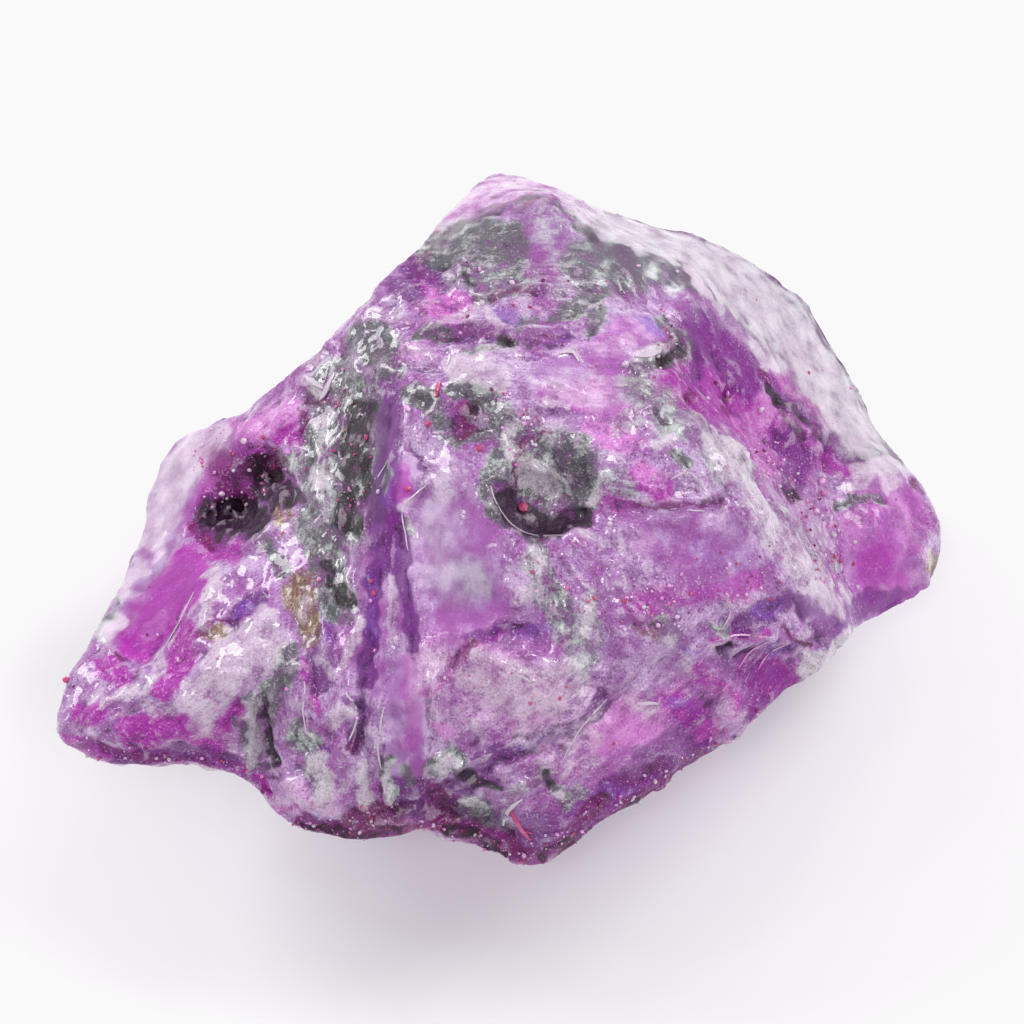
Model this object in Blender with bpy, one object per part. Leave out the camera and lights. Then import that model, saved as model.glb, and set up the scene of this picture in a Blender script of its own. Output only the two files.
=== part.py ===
"""Rough sapphire: one broken lump of stone that rests on a small flat underneath.

The stone is laid out as it is seen by an eye in front of it and 62 degrees above the ground. Each
point of the layout is (across, up, near) in millimetres, where near is towards the eye. One net of
triangles makes the near side, a second one makes the far side, and both meet at the outline. The
nets are cut finer and drawn taut between their crisp edges. Then scoops, hollows and furrows are
carved, the stone is stood up, thinned out, and cut flat underneath.
"""

import math

import bmesh
import bpy
from mathutils import Matrix, Vector, noise
from mathutils.geometry import delaunay_2d_cdt

# Driving dimensions: the stone's real length, in metres, and its length in the layout
STONE_LENGTH = 0.0364
LAYOUT_LENGTH = 36.4
MM = STONE_LENGTH / LAYOUT_LENGTH

# The layout's eye: its height as an angle over the ground, and its distance
VIEW_TILT = math.radians(62.0)
EYE_DISTANCE = 99.2

# The ground's height in the layout, and the spot of it that is under the stone's middle
GROUND = -10.5
MIDDLE = (0.1, 0.0)

# How fine the stone is made, in millimetres and in rounds, and how many triangles are left
SAME_POINT = 0.01
NEAR_EDGE = 0.55
FAR_EDGE = 0.9
ROUNDS_OF_CUTS = 6
SMOOTHING = 6
LINE_SMOOTHING = 1
TRIANGLES = 9500

STONE_COLOUR = (0.40, 0.22, 0.42, 1.0)
STONE_ROUGHNESS = 0.35

OUTLINE = (
    (-18.7, -8.6, 3.6), (-18.5, -7.3, 3.4), (-18.0, -6.2, 3.0), (-17.1, -4.8, 2.4),
    (-16.1, -3.1, 1.0), (-15.5, -1.4, -0.6), (-15.1, 0.9, -2.0), (-14.6, 2.2, -2.6),
    (-13.5, 3.2, -2.8), (-12.3, 3.7, -2.2), (-11.2, 4.0, -0.6), (-8.7, 6.2, 1.2),
    (-7.1, 7.4, 1.6), (-4.4, 10.3, 1.6), (-3.3, 11.5, 0.6), (-2.5, 12.5, -1.0),
    (-1.6, 13.4, -2.6), (-0.6, 13.7, -3.4), (0.7, 13.5, -3.4), (4.1, 12.4, -3.6),
    (6.5, 11.7, -4.2), (8.9, 10.9, -5.0), (10.6, 9.9, -5.4), (11.8, 8.7, -6.0),
    (13.2, 6.8, -6.6), (14.4, 5.0, -6.6), (15.1, 3.5, -6.0), (16.1, 2.3, -5.0),
    (16.9, 1.1, -4.2), (17.6, -0.3, -3.6), (17.7, -1.4, -3.2), (17.3, -2.6, -2.8),
    (16.7, -3.5, -2.2), (15.3, -4.2, -1.2), (14.4, -4.6, 0.6), (13.9, -5.1, 2.2),
    (13.2, -5.8, 3.2), (11.5, -7.3, 3.8), (9.5, -8.8, 4.0), (7.7, -10.1, 4.2),
    (4.0, -12.8, 4.6), (2.1, -14.1, 4.8), (1.2, -14.7, 4.8), (0.3, -14.8, 4.8),
    (-0.6, -14.3, 4.8), (-2.8, -13.3, 5.0), (-3.6, -12.9, 5.1), (-4.4, -13.4, 5.1),
    (-6.8, -13.6, 5.0), (-8.5, -13.4, 5.0), (-9.6, -12.9, 4.9), (-10.2, -12.1, 4.8),
    (-10.5, -11.4, 4.7), (-11.3, -10.8, 4.6), (-12.6, -10.4, 4.4), (-14.8, -10.4, 4.2),
    (-17.2, -10.1, 4.0), (-18.3, -9.6, 3.8),
)

# Lines of the near side: the edges where two broken faces meet, which stay crisp
NEAR_EDGES = {
    "skyline": (
        (-3.3, 11.5, 0.6), (-1.3, 12.2, 1.5), (0.3, 12.8, 1.2), (1.4, 13.0, 1.0),
        (2.5, 12.1, 1.4), (3.8, 11.1, 1.8), (5.7, 10.5, 1.9), (7.3, 9.3, 1.6), (8.6, 7.9, 1.2),
        (9.6, 6.5, 0.6), (10.9, 5.0, 0.0), (12.3, 3.8, -0.8), (13.9, 2.5, -1.8),
        (16.1, 2.3, -5.0),
    ),
    "right crest": (
        (5.2, 4.9, 7.2), (7.2, 3.6, 7.7), (8.6, 1.4, 7.6), (10.3, -1.1, 7.0), (11.9, -3.1, 5.8),
        (13.5, -4.3, 4.0), (13.9, -5.1, 2.2),
    ),
    "left crease": (
        (-4.6, 6.8, 4.4), (-4.8, 4.2, 5.8), (-5.2, 0.5, 6.9), (-4.9, -3.6, 7.5),
        (-4.7, -7.7, 7.4), (-4.4, -11.0, 6.6), (-3.6, -12.9, 5.1),
    ),
    "lower break": (
        (-4.4, -11.0, 6.6), (-3.0, -11.1, 6.5), (-0.9, -10.3, 6.9), (1.4, -9.5, 7.2),
        (3.6, -8.5, 7.3), (5.7, -8.3, 6.8), (7.7, -8.4, 5.8),
    ),
    "bevel": (
        (0.3, -14.8, 4.8), (1.5, -13.2, 5.8), (4.0, -11.7, 6.0), (7.7, -9.2, 5.4),
        (10.6, -7.0, 5.2), (13.2, -5.8, 3.2),
    ),
    "grey rib": (
        (-8.7, 6.2, 1.2), (-8.2, 4.4, 2.6), (-8.0, 2.1, 3.8), (-8.0, -0.3, 4.6),
        (-7.8, -2.8, 5.6),
    ),
    "left crest": (
        (-11.2, 4.0, -0.6), (-12.2, 2.2, 0.9), (-12.6, 0.5, 0.9), (-13.9, -1.4, 0.7),
        (-15.3, -2.9, 0.9), (-16.1, -3.1, 1.0),
    ),
    "plate edge": (
        (-8.0, -0.3, 4.6), (-10.3, -0.7, 3.6), (-11.3, -2.4, 4.2), (-12.3, -4.4, 4.9),
        (-13.4, -6.2, 5.3), (-15.3, -7.5, 5.1), (-16.9, -8.2, 4.6), (-18.5, -7.3, 3.4),
    ),
}

# Lines of the near side that only give its height, and are smoothed over
NEAR_SWELLS = {
    "crest back": (
        (6.3, 5.5, 6.2), (8.3, 3.4, 6.3), (10.0, 1.3, 5.8), (11.8, -1.1, 4.8), (13.3, -3.1, 3.6),
        (14.4, -4.6, 0.6),
    ),
    "trough": (
        (6.4, 7.9, 3.4), (7.7, 5.6, 2.9), (9.7, 3.4, 2.2), (11.4, 1.3, 1.6), (12.8, -1.1, 1.0),
        (14.1, -3.4, 0.2), (15.3, -4.2, -1.2),
    ),
    "right lobe": ((15.1, 1.4, -1.2), (15.3, -0.1, -0.4), (15.9, -1.5, -0.6), (15.6, -2.9, -0.8)),
    "brow": (
        (-7.1, 7.4, 1.6), (-4.6, 6.8, 4.4), (-1.3, 5.7, 6.2), (2.0, 4.9, 7.2), (5.2, 4.9, 7.2),
    ),
    "upper ledge": (
        (-4.4, 10.3, 1.6), (-2.5, 9.0, 3.4), (-0.1, 8.7, 4.4), (2.4, 8.2, 5.0), (4.4, 7.5, 5.2),
        (6.4, 7.9, 3.4),
    ),
    "plateau": (
        (-4.8, 4.2, 5.8), (-3.0, 1.7, 7.6), (-1.7, -2.0, 8.0), (2.0, -3.6, 8.6), (5.7, -2.0, 8.7),
        (8.6, 1.4, 7.6),
    ),
    "lower plateau": (
        (-4.7, -7.7, 7.4), (-1.7, -7.3, 7.6), (2.0, -7.3, 7.8), (5.7, -6.5, 7.6),
        (8.5, -5.1, 7.3), (11.9, -3.1, 5.8),
    ),
    "grey hollow": (
        (-7.1, 7.4, 1.6), (-7.0, 4.6, 3.0), (-6.8, 1.7, 4.0), (-6.8, -1.1, 4.8),
        (-6.7, -3.6, 5.8),
    ),
    "pit shelf": ((-10.3, 3.0, 1.6), (-9.9, 1.4, 1.2), (-11.5, -0.2, 0.8)),
    "left slope": ((-11.3, -2.4, 4.2), (-13.6, -3.2, 2.6), (-15.7, -4.8, 2.6), (-17.1, -4.8, 2.4)),
    "plate": (
        (-7.8, -2.8, 5.6), (-9.1, -5.2, 6.1), (-11.2, -6.9, 6.4), (-12.8, -8.6, 5.8),
        (-14.8, -9.4, 5.2), (-17.2, -10.1, 4.0),
    ),
    "lower lobe": (
        (-4.7, -7.7, 7.4), (-7.1, -8.5, 6.9), (-8.0, -10.2, 6.6), (-7.8, -11.8, 6.2),
        (-8.5, -13.4, 5.0),
    ),
    "notch": ((-9.1, -5.2, 6.1), (-10.0, -7.7, 5.2), (-10.4, -9.4, 4.6), (-10.5, -11.4, 4.7)),
}

# The brink where the far side turns under, in the layout
BRINK = (
    (-17.3, -8.2, 0.2), (-16.2, -5.4, -0.6), (-14.2, -1.6, -3.6), (-13.2, 1.4, -5.6),
    (-11.2, 2.4, -5.4), (-8.0, 4.6, -3.8), (-5.0, 8.0, -3.6), (-2.6, 11.0, -5.2),
    (-0.4, 12.2, -7.0), (4.0, 10.8, -7.8), (8.4, 9.4, -8.8), (11.2, 7.4, -9.6),
    (12.8, 4.6, -9.8), (14.6, 2.0, -8.4), (16.2, -0.8, -6.8), (15.4, -2.6, -6.2),
    (12.8, -4.2, -3.2), (10.4, -6.4, -1.2), (6.8, -8.8, -0.4), (3.2, -11.4, 0.6),
    (0.4, -13.0, 1.4), (-3.0, -11.9, 1.2), (-7.0, -12.0, 1.0), (-9.2, -11.2, 0.6),
    (-11.6, -9.2, 0.4), (-14.6, -9.0, 0.2),
)

# The belly and the foot under it, as places over the ground: (x, y, height over the ground).
# The foot is drawn a little into the ground, which then cuts it flat.
BELLY = (
    (-13.0, -4.0, 5.2), (-8.0, -8.0, 4.5), (0.0, -10.0, 4.4), (6.0, -6.5, 4.0), (11.5, -1.5, 3.5),
    (13.0, 3.0, 3.0), (7.5, 9.5, 3.5), (0.0, 10.5, 5.0), (-7.0, 7.0, 5.0), (-11.5, 2.5, 4.6),
)
FOOT = (
    (-7.5, -3.0, -0.4), (-2.5, -4.8, -0.4), (4.0, -4.0, -0.4), (7.5, 0.0, -0.4), (5.5, 4.8, -0.4),
    (-2.0, 6.0, -0.4), (-7.0, 2.8, -0.4),
)

# Hollows of the near side where the depth is over 0, and lumps where it is under 0: deepest place
# (across, up), reach to the sides, up and down, depth, and how square the walls are
HOLLOWS = {
    "round pit": ((1.5, 0.2), (2.1, 2.8, 1.15), 1.6, 1.6),
    "small pit": ((-1.7, 3.5), (0.9, 0.9, 0.7), 0.6, 1.0),
    "black pit": ((-11.5, -0.1), (1.0, 0.7, 0.7), 1.3, 1.2),
    "upper black pit": ((-9.9, 1.5), (0.8, 1.1, 0.9), 1.2, 1.2),
    "shell": ((10.3, -6.8), (1.8, 1.4, 1.0), 0.6, 0.8),
    "slit": ((-10.5, -9.1), (0.6, 1.6, 1.5), 0.9, 0.9),
    "gold patch": ((-8.6, -4.1), (0.8, 1.5, 1.5), 0.35, 0.8),
    "low hollow": ((-1.4, -12.0), (2.4, 1.0, 0.7), 0.7, 0.8),
    "under the brow": ((2.0, 3.4), (3.0, 1.2, 1.6), 0.35, 0.8),
    "left pocket": ((-14.6, -5.6), (1.4, 1.0, 1.2), 0.4, 0.8),
    "trough pocket": ((9.2, 4.4), (1.6, 1.8, 1.6), 0.5, 0.8),
    "window lump": ((-9.0, 3.9), (1.0, 1.0, 1.0), -0.45, 0.9),
    "tip lump": ((-16.9, -8.9), (1.2, 0.9, 0.9), -0.35, 0.9),
    "plate lump": ((-11.6, -6.2), (1.6, 1.2, 1.4), -0.4, 0.9),
    "lobe lump": ((-8.6, -11.6), (1.2, 1.2, 1.2), -0.4, 0.9),
    "second lobe lump": ((-6.8, -10.4), (0.9, 1.6, 1.2), -0.35, 0.9),
}

# Furrows where the depth is over 0, and ribs where it is under 0: line, half width, depth
FURROWS = {
    "cleft": (((-8.0, 4.8), (-8.7, 4.2), (-9.0, 3.2)), 0.4, 0.6),
    "white furrow": (((-4.9, -1.5), (-5.0, -3.3), (-4.8, -5.2)), 0.45, 0.3),
    "grey furrow": (((-5.9, -7.5), (-6.1, -9.2), (-5.9, -11.0), (-5.6, -12.8)), 0.5, 0.35),
    "left flute": (((-5.4, 1.0), (-5.7, -2.0), (-5.5, -5.0), (-5.3, -9.0), (-5.0, -12.6)), 0.5, -0.3),
    "right flute": (((-4.1, -2.0), (-4.2, -4.6), (-3.9, -7.6), (-3.9, -11.0)), 0.45, -0.25),
    "beside the crease": (((-3.4, 3.0), (-3.9, 0.0), (-3.5, -3.0)), 0.7, 0.3),
    "shell lip": (((8.6, -6.8), (9.2, -5.3), (10.6, -4.8), (12.2, -4.9)), 0.4, -0.35),
    "upper step": (((-3.8, 7.2), (-2.4, 6.8), (-1.0, 7.2), (0.6, 6.9), (2.2, 7.3)), 0.6, -0.3),
    "middle step": (((-4.2, 5.7), (-2.6, 5.2), (-0.8, 5.7), (1.0, 5.2), (2.6, 5.6)), 0.5, -0.25),
    "top step": (((-2.0, 9.3), (-0.6, 8.9), (0.6, 9.4), (2.2, 8.8)), 0.5, -0.3),
    "pit shelf step": (((-12.2, -0.7), (-11.3, -1.2), (-10.2, -0.7), (-9.4, 0.6)), 0.4, -0.35),
    "trough rib": (((7.2, 7.4), (8.4, 5.8), (9.6, 4.9), (11.0, 3.0)), 0.5, -0.3),
    "lobe furrow": (((14.2, 1.2), (14.0, -0.4), (14.2, -2.4)), 0.5, 0.35),
    "plateau break": (((4.0, 1.2), (6.0, 1.0), (7.6, 0.2)), 0.5, -0.25),
    "lower plateau break": (((-3.0, -5.6), (0.0, -5.9), (3.2, -6.6), (5.2, -5.8)), 0.7, -0.25),
}

# Scoops that the breaking left, with edges between them, and softer swells: their length and
# height, and the share of both on the near side and along the crisp edges
SCOOPS = ((5.2, 0.75), (2.3, 0.28))
SWELLS = ((3.6, 0.22), (1.5, 0.12))
NEAR_SHARE = 0.45

# How square to the eye a spot has to be to take hollows, and how far beyond its half width a
# furrow still counts
FACING_EYE = 0.15
FURROW_REACH = 2.5


def clear_scene():
    for thing in list(bpy.data.objects):
        bpy.data.objects.remove(thing, do_unlink=True)


def stone_material():
    material = bpy.data.materials.new("purple stone")
    material.use_nodes = True
    shader = material.node_tree.nodes["Principled BSDF"]
    shader.inputs["Base Color"].default_value = STONE_COLOUR
    shader.inputs["Roughness"].default_value = STONE_ROUGHNESS
    shader.inputs["Metallic"].default_value = 0.0
    return material


def drawn(point):
    """Place in space of a point as the eye sees it in the layout."""
    across, up, near = point
    spread = 1.0 - near / EYE_DISTANCE
    return Vector((across * spread, up * spread, near))


def over_ground(point):
    """Place, in the layout's axes, of a point given over the ground."""
    x, y, height = point
    z = height + GROUND
    up = y * math.sin(VIEW_TILT) + z * math.cos(VIEW_TILT)
    near = z * math.sin(VIEW_TILT) - y * math.cos(VIEW_TILT)
    return Vector((x, up, near))


def add_side(bm, rim, lines):
    """One side of the stone: a net of triangles inside the rim and through that side's lines.

    A line is (its points, is it closed, is it crisp). The edges of crisp lines become seams.
    """
    places = [vert.co.copy() for vert in rim]
    edges = []
    crisp_edges = set()
    for points, is_closed, is_crisp in lines:
        numbers = range(len(places), len(places) + len(points))
        places.extend(points)
        pairs = list(zip(numbers, numbers[1:]))
        if is_closed:
            pairs.append((numbers[-1], numbers[0]))
        if is_crisp:
            crisp_edges.update(range(len(edges), len(edges) + len(pairs)))
        edges.extend(pairs)
    flat = [place.xy for place in places]
    inside = list(range(len(rim)))
    found, net, faces, sources, edge_sources, _ = delaunay_2d_cdt(
        flat, edges, [inside], 1, SAME_POINT
    )
    verts = []
    for where, source in zip(found, sources):
        if not source:
            raise ValueError(f"two lines cross at {where.x:.1f}, {where.y:.1f}")
        first = min(source)
        verts.append(rim[first] if first < len(rim) else bm.verts.new(places[first]))
    for face in faces:
        bm.faces.new([verts[i] for i in face])
    for ends, source in zip(net, edge_sources):
        if crisp_edges.intersection(source):
            bm.edges.get([verts[i] for i in ends]).seam = True


def refine(bm, near_side):
    """Cut the net finer until no edge is longer than its side's limit."""
    for _ in range(ROUNDS_OF_CUTS):
        long_edges = []
        for edge in bm.edges:
            is_near = any(face[near_side] for face in edge.link_faces)
            if edge.calc_length() > (NEAR_EDGE if is_near else FAR_EDGE):
                long_edges.append(edge)
        if not long_edges:
            return
        bmesh.ops.subdivide_edges(bm, edges=long_edges, cuts=1)
        bmesh.ops.triangulate(bm, faces=bm.faces)


def smooth(bm, verts, factor, rounds):
    for _ in range(rounds):
        bmesh.ops.smooth_vert(
            bm, verts=verts, factor=factor, use_axis_x=True, use_axis_y=True, use_axis_z=True
        )


def is_on_seam(vert):
    return any(edge.seam for edge in vert.link_edges)


def relax(bm):
    """Draw the surface taut between the crisp lines, and ease those lines a little."""
    crisp = [vert for vert in bm.verts if is_on_seam(vert)]
    free = [vert for vert in bm.verts if not is_on_seam(vert)]
    smooth(bm, free, 0.5, SMOOTHING)
    smooth(bm, crisp, 0.35, LINE_SMOOTHING)


def distance_to_line(spot, line):
    """How far a spot is from a line through several points."""
    distances = []
    for start, end in zip(line, line[1:]):
        run = end - start
        along = (spot - start).dot(run) / run.length_squared
        nearest = start + run * max(0.0, min(1.0, along))
        distances.append((spot - nearest).length)
    return min(distances)


def carved_depth(spot):
    """Depth of the hollows and furrows at a spot (across, up) of the near side."""
    depth = 0.0
    for middle, (aside, above, below), deep, squareness in HOLLOWS.values():
        across = (spot.x - middle[0]) / aside
        up = spot.y - middle[1]
        away = math.hypot(across, up / (above if up > 0.0 else below))
        if away < 1.0:
            depth += deep * (1.0 - away ** (2.0 * squareness))
    for line, half_width, deep in FURROWS.values():
        away = distance_to_line(spot, [Vector(point) for point in line]) / half_width
        if away < FURROW_REACH:
            depth += deep * math.exp(-away * away)
    return depth


def roughness(place):
    """How far the surface stands out at a place from its scoops and swells."""
    out = 0.0
    for length, height in SCOOPS:
        nearest = noise.voronoi(place / length)[0][0]
        out += (nearest - 0.5) * height
    for length, height in SWELLS:
        out += noise.noise(place / length, noise_basis="PERLIN_ORIGINAL") * height
    return out


def carve(bm):
    """Roughen the whole stone, and press the hollows and furrows into the near side."""
    bm.normal_update()
    moves = []
    for vert in bm.verts:
        is_calm = vert.normal.z > 0.0 or is_on_seam(vert)
        move = vert.normal * roughness(vert.co) * (NEAR_SHARE if is_calm else 1.0)
        if vert.normal.z > FACING_EYE:
            spread = 1.0 - vert.co.z / EYE_DISTANCE
            move.z -= carved_depth(vert.co.xy / spread)
        moves.append(move)
    for vert, move in zip(bm.verts, moves):
        vert.co += move


def stand_up(bm):
    """Turn the layout upright, bring the ground to z = 0, and go from millimetres to metres."""
    upright = Matrix.Rotation(math.pi / 2 - VIEW_TILT, 4, "X")
    to_origin = Matrix.Translation((-MIDDLE[0], -MIDDLE[1], -GROUND))
    bm.transform(Matrix.Scale(MM, 4) @ to_origin @ upright)


def stone_mesh():
    bm = bmesh.new()
    near_side = bm.faces.layers.int.new("near side")
    rim = [bm.verts.new(drawn(point)) for point in OUTLINE]
    near = [([drawn(p) for p in line], False, True) for line in NEAR_EDGES.values()]
    near += [([drawn(p) for p in line], False, False) for line in NEAR_SWELLS.values()]
    add_side(bm, rim, near)
    for face in bm.faces:
        face[near_side] = 1
    brink = ([drawn(p) for p in BRINK], True, False)
    belly = ([over_ground(p) for p in BELLY], True, True)
    foot = ([over_ground(p) for p in FOOT], True, True)
    add_side(bm, rim, [brink, belly, foot])
    for start, end in zip(rim, rim[1:] + rim[:1]):
        bm.edges.get((start, end)).seam = True
    bmesh.ops.recalc_face_normals(bm, faces=bm.faces)
    refine(bm, near_side)
    relax(bm)
    carve(bm)
    stand_up(bm)
    mesh = bpy.data.meshes.new("rough_sapphire")
    bm.to_mesh(mesh)
    bm.free()
    mesh.shade_smooth()
    return mesh


def ground_block():
    """The block of ground that cuts the foot flat."""
    bm = bmesh.new()
    bmesh.ops.create_cube(bm, size=2.0 * STONE_LENGTH)
    bmesh.ops.translate(bm, vec=(0.0, 0.0, -STONE_LENGTH), verts=bm.verts)
    mesh = bpy.data.meshes.new("ground block")
    bm.to_mesh(mesh)
    bm.free()
    block = bpy.data.objects.new("ground block", mesh)
    block.hide_render = True
    block.display_type = "WIRE"
    return block


def collection(name):
    made = bpy.data.collections.new(name)
    bpy.context.scene.collection.children.link(made)
    return made


def main():
    clear_scene()
    mesh = stone_mesh()
    mesh.materials.append(stone_material())
    stone = bpy.data.objects.new("rough_sapphire", mesh)
    collection("rough sapphire").objects.link(stone)
    block = ground_block()
    collection("cutters").objects.link(block)

    thinned = stone.modifiers.new("thinned out", "DECIMATE")
    thinned.ratio = TRIANGLES / len(mesh.polygons)
    flat = stone.modifiers.new("flat underneath", "BOOLEAN")
    flat.operation = "DIFFERENCE"
    flat.solver = "EXACT"
    flat.object = block


if __name__ == "__main__":
    main()
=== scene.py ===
"""The looks of a rough sapphire: its broken surface, its colours, its crumbs and its studio."""

import math
import random

import bmesh
import bpy
import numpy as np
from bpy.props import FloatProperty, FloatVectorProperty, IntProperty, PointerProperty
from mathutils import Matrix, Vector, noise


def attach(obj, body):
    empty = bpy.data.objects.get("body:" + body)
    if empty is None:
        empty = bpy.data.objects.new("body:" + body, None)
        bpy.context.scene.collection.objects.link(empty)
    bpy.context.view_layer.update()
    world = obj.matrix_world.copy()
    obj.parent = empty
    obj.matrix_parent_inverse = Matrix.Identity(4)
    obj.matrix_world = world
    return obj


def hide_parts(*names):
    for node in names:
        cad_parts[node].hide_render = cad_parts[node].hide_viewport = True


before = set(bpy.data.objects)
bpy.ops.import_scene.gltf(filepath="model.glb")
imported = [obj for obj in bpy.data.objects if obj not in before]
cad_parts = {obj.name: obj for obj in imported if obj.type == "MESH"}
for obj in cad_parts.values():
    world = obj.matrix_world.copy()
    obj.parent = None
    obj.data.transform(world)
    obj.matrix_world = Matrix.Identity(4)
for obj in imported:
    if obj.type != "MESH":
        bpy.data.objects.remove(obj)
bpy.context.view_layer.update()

bl_info = {
    "name": "Rough sapphire",
    "version": (1, 0, 0),
    "blender": (4, 5, 0),
    "location": "3D View > Sidebar > Stone",
    "description": "Makes the finished surface of a rough sapphire, its crumbs and its studio",
    "category": "Object",
}

MM = 0.001
NODE = "rough_sapphire"
BODY = "root"
SAME_POINT = 0.002 * MM

# The eye that the stone is laid out for. It looks down at the stone from this height, at this
# distance in millimetres from this place, and its picture is a square of this many pixels.
VIEW_TILT = math.radians(62.0)
EYE_DISTANCE = 99.2
LOOKED_AT = Vector((-0.1, 0.0, 10.5))
LENS = 85.0
SENSOR = 36.0
PICTURE = 1024
PIXELS_PER_MM = PICTURE * LENS / (SENSOR * EYE_DISTANCE)
ACROSS = Vector((1.0, 0.0, 0.0))
UPWARD = Vector((0.0, math.sin(VIEW_TILT), math.cos(VIEW_TILT)))
TO_EYE = Vector((0.0, -math.cos(VIEW_TILT), math.sin(VIEW_TILT)))

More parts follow.
